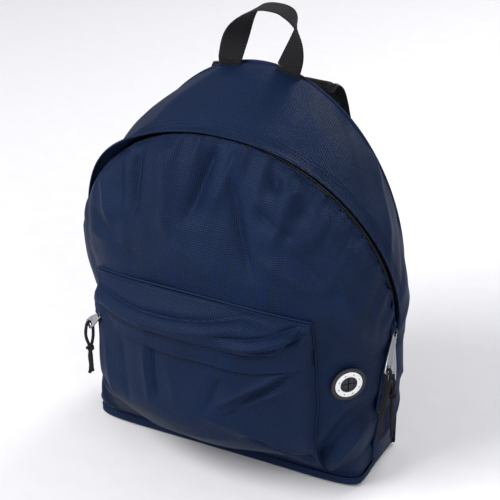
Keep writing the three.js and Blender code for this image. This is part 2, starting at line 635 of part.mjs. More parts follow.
function buildStrap(end, side) {
  const mirror = (x, y, z) => vec(side * x, y, z);
  const padPath = new THREE.CatmullRomCurve3([
    mirror(STRAP_TOP.x, STRAP_TOP.y, STRAP_TOP.z),
    mirror(44, BACK_Y + 27, 371.5),
    mirror(48, BACK_Y + 36, 348),
    mirror(64, BACK_Y + 38, 260),
    mirror(84, BACK_Y + 31, 170),
    mirror(101, BACK_Y + 22, 95),
  ]);
  const across = vec(1, 0, 0);
  const padStations = steps(0, 1, 14).map((t) => ({ centre: padPath.getPointAt(t), across }));
  add(`strap_pad_${end}`, strip(withNormals(padStations), STRAP_WIDTH, STRAP_THICK), BLACK_WEB);

  const anchorPath = new THREE.CatmullRomCurve3([
    mirror(40, BACK_Y + 5, 340),
    mirror(40.5, BACK_Y + 5, 356),
    mirror(41.5, BACK_Y + 10.5, 366),
  ]);
  const anchorStations = steps(0, 1, 4).map((t) => ({ centre: anchorPath.getPointAt(t), across }));
  add(`strap_anchor_${end}`, strip(withNormals(anchorStations), STRAP_WIDTH - 2, 5), BLACK_WEB);

  const lockFrame = frameAt(
    mirror(104.5, BACK_Y + 19.5, 78),
    mirror(0.27, -0.17, -1),
    mirror(0, 1, -0.17),
  );
  const plate = box([-15, -17, -2], [15, 17, 2]);
  const slots = [-9.5, 0.5, 9].map((x) => box([x - 2.3, -13.3, -3], [x + 2.3, 13.3, 3]));
  const lock = slots.reduce((body, slot) => body.subtract(slot), plate);
  add(`ladder_lock_${end}`, solidMoved(lock, lockFrame), ZIP_BLACK);

  const webFrom = mirror(110.5, BACK_Y + 14.5, 57);
  const webTo = mirror(SIDE_TAB.x - 5, SIDE_TAB.y + 2.6, SIDE_TAB.z + 6);
  const webPath = new THREE.CatmullRomCurve3([webFrom, webFrom.clone().lerp(webTo, 0.5), webTo]);
  const webAcross = vec(side * 0.78, 0, 0.63);
  const webStations = steps(0, 1, 5).map((t) => ({ centre: webPath.getPointAt(t), across: webAcross }));
  add(`adjuster_webbing_${end}`, strip(withNormals(webStations), WEB_WIDTH, WEB_THICK), BLACK_WEB);

  const tab = new THREE.Shape();
  tab.moveTo(side * 149, 8);
  tab.lineTo(side * 149, 48);
  tab.lineTo(side * 112, 8);
  const stand = new THREE.Matrix4().makeRotationX(Math.PI / 2).setPosition(0, BACK_Y + GAP + 2.4, 0);
  add(
    `side_tab_${end}`,
    solid(new THREE.ExtrudeGeometry(tab, { depth: 2.4, bevelEnabled: false }), stand),
    NAVY,
  );
}

function buildYoke() {
  const yoke = box([-67, BACK_Y + GAP, 346], [67, BACK_Y + GAP + WEB_THICK, 371]);
  add("strap_yoke", yoke, BLACK_WEB);
}

buildBack();
buildGusset();
buildRainFlap();
buildFrontPanel();
buildMainZip();
buildPulls();
buildPocket();
buildPort();
buildHandle();
buildStrap("right", 1);
buildStrap("left", -1);
buildYoke();

export default group;
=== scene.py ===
"""School backpack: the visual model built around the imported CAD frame.

Shapes are worked out in millimetres, in the CAD frame (+Z up, front faces -Y).
They are scaled when a mesh is made.
"""

import json
import math

import bmesh
import bpy
import numpy as np
from mathutils import Matrix, Vector

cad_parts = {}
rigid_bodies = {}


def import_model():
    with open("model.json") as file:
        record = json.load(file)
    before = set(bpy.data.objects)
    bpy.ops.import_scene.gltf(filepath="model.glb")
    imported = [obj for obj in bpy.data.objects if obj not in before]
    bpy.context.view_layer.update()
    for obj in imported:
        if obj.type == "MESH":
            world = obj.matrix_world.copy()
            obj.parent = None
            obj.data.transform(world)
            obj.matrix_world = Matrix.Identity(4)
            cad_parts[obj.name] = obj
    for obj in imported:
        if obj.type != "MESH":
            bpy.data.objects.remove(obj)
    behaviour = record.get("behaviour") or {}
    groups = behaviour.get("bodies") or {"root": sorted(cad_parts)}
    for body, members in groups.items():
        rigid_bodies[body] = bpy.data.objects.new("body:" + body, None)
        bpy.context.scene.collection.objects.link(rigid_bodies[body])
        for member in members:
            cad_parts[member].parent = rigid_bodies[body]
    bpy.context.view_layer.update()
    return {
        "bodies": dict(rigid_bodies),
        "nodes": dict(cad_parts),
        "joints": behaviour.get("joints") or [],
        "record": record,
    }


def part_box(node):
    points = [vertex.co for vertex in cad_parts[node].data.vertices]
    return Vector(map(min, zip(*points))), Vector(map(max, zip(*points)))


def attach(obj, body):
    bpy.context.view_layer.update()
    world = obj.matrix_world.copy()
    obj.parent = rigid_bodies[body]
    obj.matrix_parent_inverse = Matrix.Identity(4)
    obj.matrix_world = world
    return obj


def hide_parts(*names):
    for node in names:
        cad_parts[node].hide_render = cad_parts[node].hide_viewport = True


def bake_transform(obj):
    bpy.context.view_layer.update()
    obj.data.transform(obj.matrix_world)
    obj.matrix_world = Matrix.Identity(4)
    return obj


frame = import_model()

MM = 0.001
TAU = 2 * math.pi


# ---- Sizes from the frame, in millimetres ----


def box_mm(node):
    low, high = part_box(node)
    return np.array(low) / MM, np.array(high) / MM


joints = {joint["name"]: joint for joint in frame["joints"]}
BASE_LOW, BASE_HIGH = box_mm("base_panel")
BACK_LOW, BACK_HIGH = box_mm("back_panel")
POCKET_LOW, POCKET_HIGH = box_mm("pocket_body")
BASE_HALF = BASE_HIGH[0]
BASE_FRONT = BASE_LOW[1]
BASE_RIM = BASE_HIGH[2]
BACK_HALF = BACK_HIGH[0]
BACK_Y = BACK_HIGH[1]
BODY_TOP = BACK_HIGH[2]
ARCH_CENTRE = np.array(joints["slider_a_travel"]["pos_m"]) / MM
ARCH_FORWARD = np.array(joints["slider_a_travel"]["axis"], float)
ARCH_UP = np.cross(ARCH_FORWARD, [1.0, 0.0, 0.0])
CHAIN_DEPTH = 0.3
ARCH_RADIUS = box_mm("main_zip_chain_rear")[1][0] + CHAIN_DEPTH - ARCH_CENTRE[0]
LEAN = ARCH_CENTRE[0]
HINGE = np.array(joints["front_panel_open"]["pos_m"]) / MM
POCKET_HALF = POCKET_HIGH[0]
POCKET_BOTTOM = POCKET_LOW[2]
POCKET_TOP = box_mm("pocket_top_strip")[1][2]
POCKET_AXIS_Y = joints["pocket_slider_travel"]["pos_m"][1] / MM
POCKET_ZIP_Z = joints["pocket_slider_travel"]["pos_m"][2] / MM

# Shape constants shared with the CAD surfaces.
ZIP_END = -19.0
ZIP_ZONE = 7.0
FRONT_Y = -102.0
BELLY_Z = 175.0
ROUNDNESS = 2.15
TOP_BULGE = 5.0
SIDE_BULGE = 9.0
POCKET_Y = -125.0
POCKET_RADIUS = POCKET_AXIS_Y - POCKET_Y
CLOTH = 1.4
WEB_THICK = 1.6
WEB_WIDTH = 25.0
SEAM_Z = BASE_RIM - 5  # where the bag's walls are sewn to the base


# ---- Small array helpers ----


def unit(v):
    v = np.asarray(v, float)
    return v / np.maximum(np.linalg.norm(v, axis=-1, keepdims=True), 1e-12)


def smooth(t):
    t = np.clip(t, 0, 1)
    return t * t * (3 - 2 * t)


def bump(t):
    """1 at 0, falling smoothly to nothing by about 2 on either side."""
    return np.exp(-(t**2))


def crisp(t):
    """1 at 0 with a tight rounded crest, falling off on both sides like cloth under tension."""
    return np.exp(0.3 - 1.5 * np.sqrt(t**2 + 0.04))


def stack(x, y, z):
    x, y, z = np.broadcast_arrays(x, y, z)
    return np.stack([x, y, z], -1).astype(float)


def ripple(a, b, wavelength, seed, count=7):
    """Smooth repeatable unevenness between about -1 and 1 over two coordinates in millimetres."""
    rng = np.random.default_rng(seed)
    total = np.zeros(np.broadcast(a, b).shape)
    for _ in range(count):
        angle = rng.uniform(0, TAU)
        k = TAU / (wavelength * rng.uniform(0.7, 1.5))
        total = total + np.sin(k * (a * math.cos(angle) + b * math.sin(angle)) + rng.uniform(0, TAU))
    return total / math.sqrt(2 * count)


def fold(x, z, start, end, width, height, bow=0.0):
    """A soft ridge (or, with a negative height, a crease) along a bowed line from start to end."""
    (x0, z0), (x1, z1) = start, end
    along = np.array([x1 - x0, z1 - z0])
    length = float(np.hypot(*along))
    along = along / length
    t = ((x - x0) * along[0] + (z - z0) * along[1]) / length
    off = -(x - x0) * along[1] + (z - z0) * along[0] - bow * 4 * t * (1 - t)
    fade = smooth((t + 0.12) / 0.35) * smooth((1.12 - t) / 0.35)
    return height * crisp(off / width) * fade


def folds(x, z, *lines):
    """Several folds added up, each given as what fold takes after x and z."""
    return sum(fold(x, z, *line) for line in lines)


def grid_normals(P):
    across = np.gradient(P, axis=1)
    along = np.gradient(P, axis=0)
    return unit(np.cross(across, along))


def arc_lengths(P, axis):
    step = np.linalg.norm(np.diff(P, axis=axis), axis=-1)
    zero_shape = list(P.shape[:2])
    zero_shape[axis] = 1
    return np.concatenate([np.zeros(zero_shape), np.cumsum(step, axis=axis)], axis=axis)


def distances(points):
    """How far along a path each of its points lies."""
    return np.concatenate([[0], np.cumsum(np.linalg.norm(np.diff(points, axis=0), axis=1))])


def read_along(values, s, at):
    """Rows of values, known at the distances s, read at other distances."""
    return np.stack([np.interp(at, s, values[:, k]) for k in range(3)], -1)


# ---- The shape of the bag ----


def zip_point(degrees, forward, out):
    """A point of the zip's arc, moved forward across the zip and outward from the circle's centre."""
    a = np.radians(np.asarray(degrees, float))[..., None]
    forward = np.asarray(forward, float)[..., None]
    out = np.asarray(out, float)[..., None]
    radial = np.cos(a) * np.array([1.0, 0, 0]) + np.sin(a) * ARCH_UP
    return ARCH_CENTRE + (ARCH_RADIUS + out) * radial + forward * ARCH_FORWARD


RIM_END = zip_point(ZIP_END, ZIP_ZONE, 0)
RIM_TOP = zip_point(90, ZIP_ZONE, 0)


def lean(z):
    """How far the front has settled to the right at a height."""
    return LEAN * smooth(np.asarray(z, float) / RIM_END[2])


def rim(z):
    """Half width and y of the front panel's edge at a height."""
    z = np.asarray(z, float)
    ease = smooth(z / RIM_END[2])
    low_x = BASE_HALF + (RIM_END[0] - LEAN - BASE_HALF) * ease
    up = (z - ARCH_CENTRE[2] - ZIP_ZONE * ARCH_FORWARD[2]) / ARCH_UP[2]
    high_x = np.sqrt(np.maximum(ARCH_RADIUS**2 - up**2, 0))
    high_y = ARCH_CENTRE[1] + up * ARCH_UP[1] + ZIP_ZONE * ARCH_FORWARD[1]
    below = z < RIM_END[2]
    return np.where(below, low_x, high_x), np.where(below, RIM_END[1], high_y)


def front_depth(z):
    low = np.clip((z - BASE_RIM) / (BELLY_Z - BASE_RIM), 0, 1)
    under = rim(z)[1] - BASE_FRONT + (BASE_FRONT - FRONT_Y) * (1 - (1 - low) ** 3)
    high = (z - BELLY_Z) / (RIM_TOP[2] - BELLY_Z)
    over = (rim(BELLY_Z)[1] - FRONT_Y) * np.maximum(1 - high * high, 0)
    return np.where(z < BELLY_Z, under, over)


def front_power(z):
    t = np.clip((z - BASE_RIM) / 95, 0, 1)
    return ROUNDNESS + 6.5 * (1 - t) ** 2


def front_y(x, z):
    """The front panel's y at a place on it."""
    half, y = rim(z)
    p = front_power(z)
    across = np.minimum(np.abs(x - lean(z)) / np.maximum(half, 1e-6), 1)
    return y - front_depth(z) * (1 - across**p) ** (1 / p)


def back_point(degrees, depth, z):
    """A point of the back panel's outline, matched to an angle on the zip's circle."""
    a = np.radians(degrees)
    e = 2 / 1.93
    c, s = np.cos(a), np.maximum(np.sin(a), 0)
    straight = np.sin(a) < 0
    half = BACK_HALF - depth
    x = np.where(straight, half * np.sign(c), half * np.sign(c) * np.abs(c) ** e)
    top = ARCH_CENTRE[2] + (BODY_TOP - ARCH_CENTRE[2] - depth) * s**e
    return stack(x, BACK_Y, np.where(straight, z, top))


def gusset_point(degrees, across, depth):
    """From the zip zone (0) to the back panel (1)."""
    degrees, across = np.broadcast_arrays(np.asarray(degrees, float), np.asarray(across, float))
    start = zip_point(degrees, np.full(degrees.shape, -ZIP_ZONE), np.full(degrees.shape, -depth))
    end = back_point(degrees, depth, start[..., 2])
    a = np.radians(degrees)
    outward = unit(stack(np.cos(a), 0, np.maximum(np.sin(a), 0)))
    low = np.clip((20 - (90 - np.abs(degrees - 90))) / 40, 0, 1)
    height = (TOP_BULGE + (SIDE_BULGE - TOP_BULGE) * low) * 4 * across * (1 - across)
    return start + (end - start) * across[..., None] + outward * height[..., None]


def side_point(z, across, side):
    half, y = rim(z)
    back_x = BASE_HALF + (BACK_HALF - BASE_HALF) * z / RIM_END[2]
    out = SIDE_BULGE * 4 * across * (1 - across) * np.sqrt(np.maximum(z, 0) / RIM_END[2])
    x = half + (back_x - half) * across + out
    return stack(side * x + lean(z) * (1 - across), y + (BACK_Y - y) * across, z)


def pocket_seam(x):
    """Height of the pocket's top seam, bowed up in the middle."""
    return POCKET_TOP + 4 + 12 * (1 - (x / POCKET_HALF) ** 2)


def pocket_y(x, z):
    """The pocket's outer face: a vertical cylinder, drawn in to its seams."""
    up = np.clip((z - POCKET_BOTTOM) / 84, 0, 1)
    down = np.clip((pocket_seam(x) - z) / 28, 0, 1)
    fullness = np.sin(np.pi / 2 * up) ** 1.2 * np.sin(np.pi / 2 * down)
    middle = front_y(0 * x, z) + (POCKET_Y - front_y(0 * x, z)) * fullness
    round_y = middle + POCKET_RADIUS - np.sqrt(POCKET_RADIUS**2 - x**2)
    wall = np.clip((POCKET_HALF - np.abs(x)) / 6, 0, 1)
    out = np.maximum((front_y(x, z) - round_y) * np.sin(np.pi / 2 * wall), 0)
    return front_y(x, z) - out - CLOTH - 0.8


# ---- Meshes ----


def add_object(name, data):
    obj = bpy.data.objects.new(name, data)
    bpy.context.scene.collection.objects.link(obj)
    return obj


def new_object(name, vertices, faces, material, uv=None):
    mesh = bpy.data.meshes.new(name)
    mesh.from_pydata((np.asarray(vertices).reshape(-1, 3) * MM).tolist(), [], faces)
    if uv is not None:
        layer = mesh.uv_layers.new(name="metres")
        loops = np.zeros(len(mesh.loops), np.int32)
        mesh.loops.foreach_get("vertex_index", loops)
        layer.data.foreach_set("uv", (uv.reshape(-1, 2)[loops] * MM).ravel())
    mesh.polygons.foreach_set("use_smooth", [True] * len(mesh.polygons))
    mesh.materials.append(material)
    return add_object(name, mesh)


def grid_faces(rows, columns, close_rows=False, close_columns=False):
    i = np.arange(rows if close_rows else rows - 1)
    j = np.arange(columns if close_columns else columns - 1)
    i, j = np.meshgrid(i, j, indexing="ij")
    down, right = (i + 1) % rows, (j + 1) % columns
    quads = np.stack([i * columns + j, i * columns + right, down * columns + right, down * columns + j], -1)
    return quads.reshape(-1, 4)


def cloth_sheet(name, P, material, outward, thick=CLOTH):
    """A sheet of cloth through a grid of points, with its thickness on the inner side."""
    faces = grid_faces(*P.shape[:2])
    facing = grid_normals(P)
    if (facing * np.asarray(outward, float)).sum(-1).mean() < 0:
        faces = faces[:, ::-1]
    uv = np.stack([arc_lengths(P, 1), arc_lengths(P, 0)], -1)
    middle = P.shape[1] // 2
    uv[..., 0] -= uv[:, middle : middle + 1, 0]
    obj = new_object(name, P, faces.tolist(), material, uv)
    shell = obj.modifiers.new("thickness", "SOLIDIFY")
    shell.thickness = thick * MM
    shell.offset = -1
    return obj


def facing(P, outward):
    n = grid_normals(P)
    sign = np.sign((n * np.asarray(outward, float)).sum(-1).mean())
    return n * sign


def path_frames(points, hint):
    """Unit tangents, and two unit directions across the path, the first as near the hint as it can be."""
    tangent = unit(np.gradient(points, axis=0))
    hint = np.broadcast_to(np.asarray(hint, float), points.shape)
    first = unit(hint - (hint * tangent).sum(-1, keepdims=True) * tangent)
    return tangent, first, np.cross(tangent, first)


def resample(points, spacing):
    """Evenly spaced points along a path."""
    points = np.asarray(points, float)
    s = distances(points)
    count = max(int(round(s[-1] / spacing)), 2)
    return read_along(points, s, np.linspace(0, s[-1], count + 1))


def curve_through(points, spacing):
    """A smooth Catmull-Rom path through a few points."""
    p = np.asarray(points, float)
    p = np.vstack([2 * p[0] - p[1], p, 2 * p[-1] - p[-2]])
    t = np.linspace(0, 1, 24, endpoint=False)[:, None]
    parts = []
    for a, b, c, d in zip(p[:-3], p[1:-2], p[2:-1], p[3:]):
        parts.append(
            0.5 * (2 * b + (c - a) * t + (2 * a - 5 * b + 4 * c - d) * t**2 + (3 * b - a - 3 * c + d) * t**3)
        )
    return resample(np.vstack(parts + [p[-2:-1]]), spacing)


def ring_sweep(name, points, first, second, section, material, section_uv=None):
    """Sweeps a closed section (per-station arrays of two coordinates) along a path, with flat ends."""
    rows, columns = section.shape[:2]
    P = points[:, None] + section[..., :1] * first[:, None] + section[..., 1:] * second[:, None]
    faces = grid_faces(rows, columns, close_columns=True)[:, ::-1].tolist()
    faces += [list(range(columns)), [(rows - 1) * columns + k for k in range(columns)][::-1]]
    length = distances(points)
    around = section_uv if section_uv is not None else np.arange(columns) / columns * 10
    uv = np.stack(np.broadcast_arrays(around[None, :], length[:, None]), -1)
    return new_object(name, P, faces, material, uv)


def tube(name, points, radius, material, sides=10, hint=(0.1, 0.2, 1.0), lay=0.0, lay_pitch=3.0):
    """A round cord. lay raises two crossing helices on it, as a braid has."""
    tangent, first, second = path_frames(points, hint)
    angle = np.arange(sides) / sides * TAU
    s = distances(points)[:, None]
    weave = np.cos(angle * 3 + TAU * s / lay_pitch) * np.cos(angle * 3 - TAU * s / lay_pitch)
    r = np.asarray(radius, float).reshape(-1, 1) + lay * weave
    section = np.stack([r * np.cos(angle), r * np.sin(angle)], -1)
    return ring_sweep(name, points, first, second, section, material, angle * float(np.mean(radius)))


def webbing(name, centres, across, material, width=WEB_WIDTH, thick=WEB_THICK, rib=0.22, pitch=2.3):
    """Woven strap with raised ribs across it and rounded selvedges."""
    tangent, first, second = path_frames(centres, across)
    half, flat = width / 2, thick / 2
    u = np.array([-1, -0.94, -0.8, -0.4, 0, 0.4, 0.8, 0.94, 1.0])
    edge = np.array([0.35, 0.9, 1, 1, 1, 1, 1, 0.9, 0.35])
    s = distances(centres)[:, None]
    ribs = rib * np.cos(TAU * s / pitch) * np.minimum(edge, 0.95)
    top = np.stack([np.broadcast_to(u * half, ribs.shape), flat * edge + ribs], -1)
    under = np.stack([np.broadcast_to(u * half, ribs.shape), -flat * edge - ribs], -1)[:, ::-1]
    section = np.concatenate([top, under], 1)
    return ring_sweep(name, centres, first, second, section, material, np.r_[u, u[::-1]] * half)


def scatter(name, base, faces, origins, X, Y, Z, material):
    """Copies a small shape to many places as one mesh. Its own axes follow X, Y and Z."""
    base = np.asarray(base, float)
    P = (
        origins[:, None]
        + base[None, :, :1] * X[:, None]
        + base[None, :, 1:2] * Y[:, None]
        + base[None, :, 2:] * Z[:, None]
    )
    all_faces = [[v + k * len(base) for v in f] for k in range(len(origins)) for f in faces]
    return new_object(name, P, all_faces, material)


def bead(length, radius, sides=6):
    """A short thread stitch along x: rings that narrow at both ends."""
    stations = [(-0.5, 0.35), (-0.34, 0.95), (0, 1.1), (0.34, 0.95), (0.5, 0.35)]
    angle = np.arange(sides) / sides * TAU
    points = [
        (x * length, radius * r * math.cos(a), radius * (r * math.sin(a) - 0.9 * abs(x)))
        for x, r in stations
        for a in angle
    ]
    faces = grid_faces(len(stations), sides, close_columns=True).tolist()
    last = (len(stations) - 1) * sides
    faces += [list(range(sides))[::-1], list(range(last, last + sides))]
    return points, faces


def sample(grid, i, j):
    """Values of a grid between its rows and columns."""
    i = np.clip(i, 0, grid.shape[0] - 1.001)
    j = np.clip(j, 0, grid.shape[1] - 1.001)
    i0, j0 = np.floor(i).astype(int), np.floor(j).astype(int)
    a, b = (i - i0)[..., None], (j - j0)[..., None]
    near = grid[i0, j0] * (1 - b) + grid[i0, j0 + 1] * b
    far = grid[i0 + 1, j0] * (1 - b) + grid[i0 + 1, j0 + 1] * b
    return near * (1 - a) + far * a


def stitches(name, path, outward, material, pitch=3.4, length=2.6, radius=0.3, lift=0.12):
    """A run of stitches along a path lying on cloth, whose outward direction is given along it."""
    s = distances(path)
    at = np.arange(pitch / 2, s[-1], pitch)
    tangent, _, _ = path_frames(path, outward)
    up = unit(read_along(outward, s, at))
    along = unit(read_along(tangent, s, at))
    up = unit(up - (up * along).sum(-1, keepdims=True) * along)
    base, faces = bead(length, radius)
    places = read_along(path, s, at) + up * lift
    return scatter(name, base, faces, places, along, np.cross(up, along), up, material)


def plate(name, outlines, low, high, bevel, frame, material):
    """A flat plate with holes and rounded edges, cut from closed outlines and set in a frame."""
    curve = bpy.data.curves.new(name, "CURVE")
    curve.dimensions = "2D"
    curve.fill_mode = "BOTH"
    curve.extrude = ((high - low) / 2 - bevel) * MM
    curve.bevel_depth = bevel * MM
    curve.bevel_resolution = 2
    curve.offset = -bevel * MM
    for outline in outlines:
        spline = curve.splines.new("POLY")
        spline.points.add(len(outline) - 1)
        for point, (x, y) in zip(spline.points, outline):
            point.co = (x * MM, y * MM, 0, 1)
        spline.use_cyclic_u = True
    holder = bpy.data.objects.new(name, curve)
    mesh = bpy.data.meshes.new_from_object(holder)
    bpy.data.objects.remove(holder)
    origin, X, Y, Z = frame
    centre = origin + Z * (low + high) / 2
    columns = np.eye(4)
    columns[:3, 0], columns[:3, 1], columns[:3, 2], columns[:3, 3] = X, Y, Z, centre * MM
    mesh.transform(Matrix(columns.tolist()))
    mesh.materials.clear()
    mesh.materials.append(material)
    return add_object(name, mesh)


def rounded(points, radius, steps=5):
    """A closed outline with its corners rounded."""
    p = np.asarray(points, float)
    out = []
    for before, here, after in zip(np.roll(p, 1, 0), p, np.roll(p, -1, 0)):
        a, b = before - here, after - here
        r = min(radius, np.linalg.norm(a) * 0.45, np.linalg.norm(b) * 0.45)
        a, b = here + unit(a) * r, here + unit(b) * r
        for t in np.linspace(0, 1, steps):
            out.append((1 - t) ** 2 * a + 2 * t * (1 - t) * here + t * t * b)
    return [tuple(q) for q in out]


def box_outline(x0, y0, x1, y1, radius):
    return rounded([(x0, y0), (x1, y0), (x1, y1), (x0, y1)], radius)


def join(name, pieces):
    """One mesh from several."""
    whole = bmesh.new()
    for piece in pieces:
        whole.from_mesh(piece.data)
    mesh = bpy.data.meshes.new(name)
    whole.to_mesh(mesh)
    whole.free()
    mesh.materials.append(pieces[0].data.materials[0])
    for piece in pieces:
        bpy.data.objects.remove(piece)
    return add_object(name, mesh)


def shade(obj, degrees=35):
    """Smooth shading with sharp edges kept."""
    obj.data.polygons.foreach_set("use_smooth", [True] * len(obj.data.polygons))
    obj.data.set_sharp_from_angle(angle=math.radians(degrees))
    return obj


# ---- Materials ----


class Nodes:
    """Short calls for building a node material."""

    def __init__(self, name):
        self.material = bpy.data.materials.new(name)
        self.material.use_nodes = True
        self.tree = self.material.node_tree
        self.surface = self.tree.nodes["Principled BSDF"]

    def value(self, socket, x):
        if hasattr(x, "links"):
            self.tree.links.new(x, socket)
        else:
            socket.default_value = x

    def math(self, operation, a, b=0.0, clamp=False):
        node = self.tree.nodes.new("ShaderNodeMath")
        node.operation = operation
        node.use_clamp = clamp
        self.value(node.inputs[0], a)
        self.value(node.inputs[1], b)
        return node.outputs[0]

    def coordinates(self, kind="UV"):
        node = self.tree.nodes.new("ShaderNodeTexCoord")
        split = self.tree.nodes.new("ShaderNodeSeparateXYZ")
        self.tree.links.new(node.outputs[kind], split.inputs[0])
        return node.outputs[kind], split.outputs[0], split.outputs[1], split.outputs[2]

    def noise(self, vector, scale, detail=3.0, rough=0.55):
        node = self.tree.nodes.new("ShaderNodeTexNoise")
        self.tree.links.new(vector, node.inputs["Vector"])
        node.inputs["Scale"].default_value = scale
        node.inputs["Detail"].default_value = detail
        node.inputs["Roughness"].default_value = rough
        return node.outputs["Fac"]

    def mix(self, factor, a, b):
        node = self.tree.nodes.new("ShaderNodeMix")
        node.data_type = "RGBA"
        self.value(node.inputs[0], factor)
        self.value(node.inputs[6], a)
        self.value(node.inputs[7], b)
        return node.outputs[2]

    def bump(self, height, distance, strength=1.0, normal=None):
        node = self.tree.nodes.new("ShaderNodeBump")
        node.inputs["Strength"].default_value = strength
        node.inputs["Distance"].default_value = distance
        self.tree.links.new(height, node.inputs["Height"])
        if normal is not None:
            self.tree.links.new(normal, node.inputs["Normal"])
        return node.outputs[0]

    def set(self, **inputs):
        for name, x in inputs.items():
            self.value(self.surface.inputs[name.replace("_", " ")], x)
        return self.material


def rgb(r, g, b):
    """A display colour of 0 to 255 as linear light."""
    linear = [((c / 255 + 0.055) / 1.055) ** 2.4 if c > 10 else c / 255 / 12.92 for c in (r, g, b)]
    return (*linear, 1.0)


def wave(nodes, coordinate, pitch):
    """A sine of a coordinate in metres, with its pitch in millimetres."""
    return nodes.math("SINE", nodes.math("MULTIPLY", coordinate, TAU / (pitch * MM)))


def woven_cloth(name, dark, light, pitch=4.4, sheen=0.03, rough=0.46, crumple=1.0):
    """Coated polyester: a plain weave seen as small diagonal dots, over soft unevenness."""
    n = Nodes(name)
    vector, u, v, _ = n.coordinates("UV")
    place = n.coordinates("Object")[0]
    dots = n.math("MULTIPLY", wave(n, n.math("ADD", u, v), pitch), wave(n, n.math("SUBTRACT", u, v), pitch))
    yarn = n.noise(vector, 1400.0, 2.0)
    cloud = n.noise(place, 14.0, 3.0)
    crease = n.noise(place, 55.0, 4.0, 0.62)
    tone = n.math("ADD", n.math("MULTIPLY", dots, 0.42), n.math("MULTIPLY", yarn, 0.5))
    tone = n.math("ADD", tone, n.math("MULTIPLY", cloud, 0.5), clamp=True)
    weave = n.bump(n.math("ADD", dots, n.math("MULTIPLY", yarn, 0.7)), 0.0003, 0.6)
    soft = n.bump(crease, 0.0026 * crumple, 0.6, weave)
    roughness = n.math("ADD", n.math("MULTIPLY", cloud, 0.16), rough - 0.08)
    return n.set(
        Base_Color=n.mix(tone, dark, light),
        Roughness=roughness,
        Normal=soft,
        Sheen_Weight=sheen,
        Sheen_Roughness=0.4,
        Sheen_Tint=light,
        Specular_IOR_Level=0.05,
    )


def ribbed_webbing(name, dark, light, pitch=2.3):
    n = Nodes(name)
    vector, u, v, _ = n.coordinates("UV")
    ribs = wave(n, v, pitch)
    threads = n.math("MULTIPLY", wave(n, u, 1.3), wave(n, v, pitch / 2))
    fuzz = n.noise(vector, 1700.0, 3.0)
    tone = n.math("ADD", n.math("MULTIPLY", ribs, 0.18), n.math("MULTIPLY", fuzz, 0.7), clamp=True)
    height = n.math("ADD", n.math("ADD", ribs, n.math("MULTIPLY", threads, 0.5)), fuzz)
    return n.set(
        Base_Color=n.mix(tone, dark, light),
        Roughness=0.8,
        Normal=n.bump(height, 0.00022, 0.7),
        Sheen_Weight=0.02,
        Specular_IOR_Level=0.1,
    )


def braided(name, dark, light):
    n = Nodes(name)
    vector, u, v, _ = n.coordinates("UV")
    lay = n.math("MULTIPLY", wave(n, n.math("ADD", u, v), 1.5), wave(n, n.math("SUBTRACT", u, v), 1.5))
    fuzz = n.noise(vector, 2200.0, 2.0)
    tone = n.math("ADD", n.math("MULTIPLY", lay, 0.3), fuzz, clamp=True)
    return n.set(
        Base_Color=n.mix(tone, dark, light),
        Roughness=0.78,
        Normal=n.bump(n.math("ADD", lay, fuzz), 0.0002, 0.8),
        Sheen_Weight=0.02,
        Specular_IOR_Level=0.12,
    )


def solid_finish(name, dark, light, metallic, rough, grain=900.0, depth=0.00004, scratch=0.1):
    """Metal, rubber or moulded plastic: fine grain and slow colour change."""
    n = Nodes(name)
    vector = n.coordinates("Object")[0]
    cloud = n.noise(vector, 45.0, 3.0)
    fine = n.noise(vector, grain, 3.0)
    roughness = n.math("ADD", n.math("MULTIPLY", cloud, scratch), rough)
    return n.set(
        Base_Color=n.mix(cloud, dark, light),
        Metallic=metallic,
        Roughness=roughness,
        Normal=n.bump(fine, depth, 0.6),
    )


NAVY = woven_cloth("navy_polyester", rgb(9, 18, 34), rgb(23, 38, 68))
NAVY_INNER = woven_cloth("navy_inner", rgb(16, 21, 36), rgb(28, 36, 60), sheen=0.05, rough=0.7)
THREAD = braided("navy_thread", rgb(8, 15, 30), rgb(24, 36, 62))
WEBBING = ribbed_webbing("black_webbing", rgb(10, 10, 12), rgb(42, 42, 46))
STRAP_CLOTH = woven_cloth("black_polyester", rgb(12, 12, 14), rgb(36, 36, 40), crumple=0.6)
CORD = braided("black_cord", rgb(8, 8, 9), rgb(36, 35, 38))
ZIP_TAPE = ribbed_webbing("zip_tape", rgb(12, 12, 14), rgb(30, 30, 34), 1.1)
ZIP_COIL = solid_finish("zip_coil", rgb(14, 14, 16), rgb(28, 28, 31), 0.0, 0.4)
ENAMEL = solid_finish("black_enamel", rgb(10, 10, 12), rgb(22, 22, 25), 0.4, 0.24)
NICKEL = solid_finish("nickel", rgb(128, 131, 137), rgb(168, 171, 176), 1.0, 0.3, 700.0, 0.00002)
RUBBER = solid_finish("port_rubber", rgb(12, 12, 14), rgb(26, 26, 29), 0.0, 0.6)
RING = solid_finish("port_ring", rgb(206, 207, 209), rgb(222, 223, 225), 0.0, 0.32)
PLASTIC = solid_finish("black_plastic", rgb(15, 15, 17), rgb(34, 34, 37), 0.0, 0.38)
FOAM = solid_finish("foam", rgb(110, 113, 118), rgb(140, 143, 148), 0.0, 0.9, 320.0, 0.0004)


def mark(obj, slot, *nodes):
    if nodes:
        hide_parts(*nodes)
    return obj


def on(obj, body, slot, *nodes):
    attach(obj, body)
    return mark(obj, slot, *nodes)


# ---- Front pieces, fixed in place (the front opens about the line through the zip's ends) ----


def front_blend(obj, slot, *nodes):
    """Fixes the piece's placement into its points and hides the CAD parts it stands for. The angle of each
    point about the hinge is worked out but not used.
    """
    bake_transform(obj)
    points = np.zeros(len(obj.data.vertices) * 3)
    obj.data.vertices.foreach_get("co", points)
    y, z = (points.reshape(-1, 3)[:, k] / MM - HINGE[k] for k in (1, 2))
    angle = np.arctan2(z, -y)
    angle = np.where(angle < -math.pi / 2, math.pi, angle)
    return mark(obj, slot, *nodes)


# ---- Front panel ----


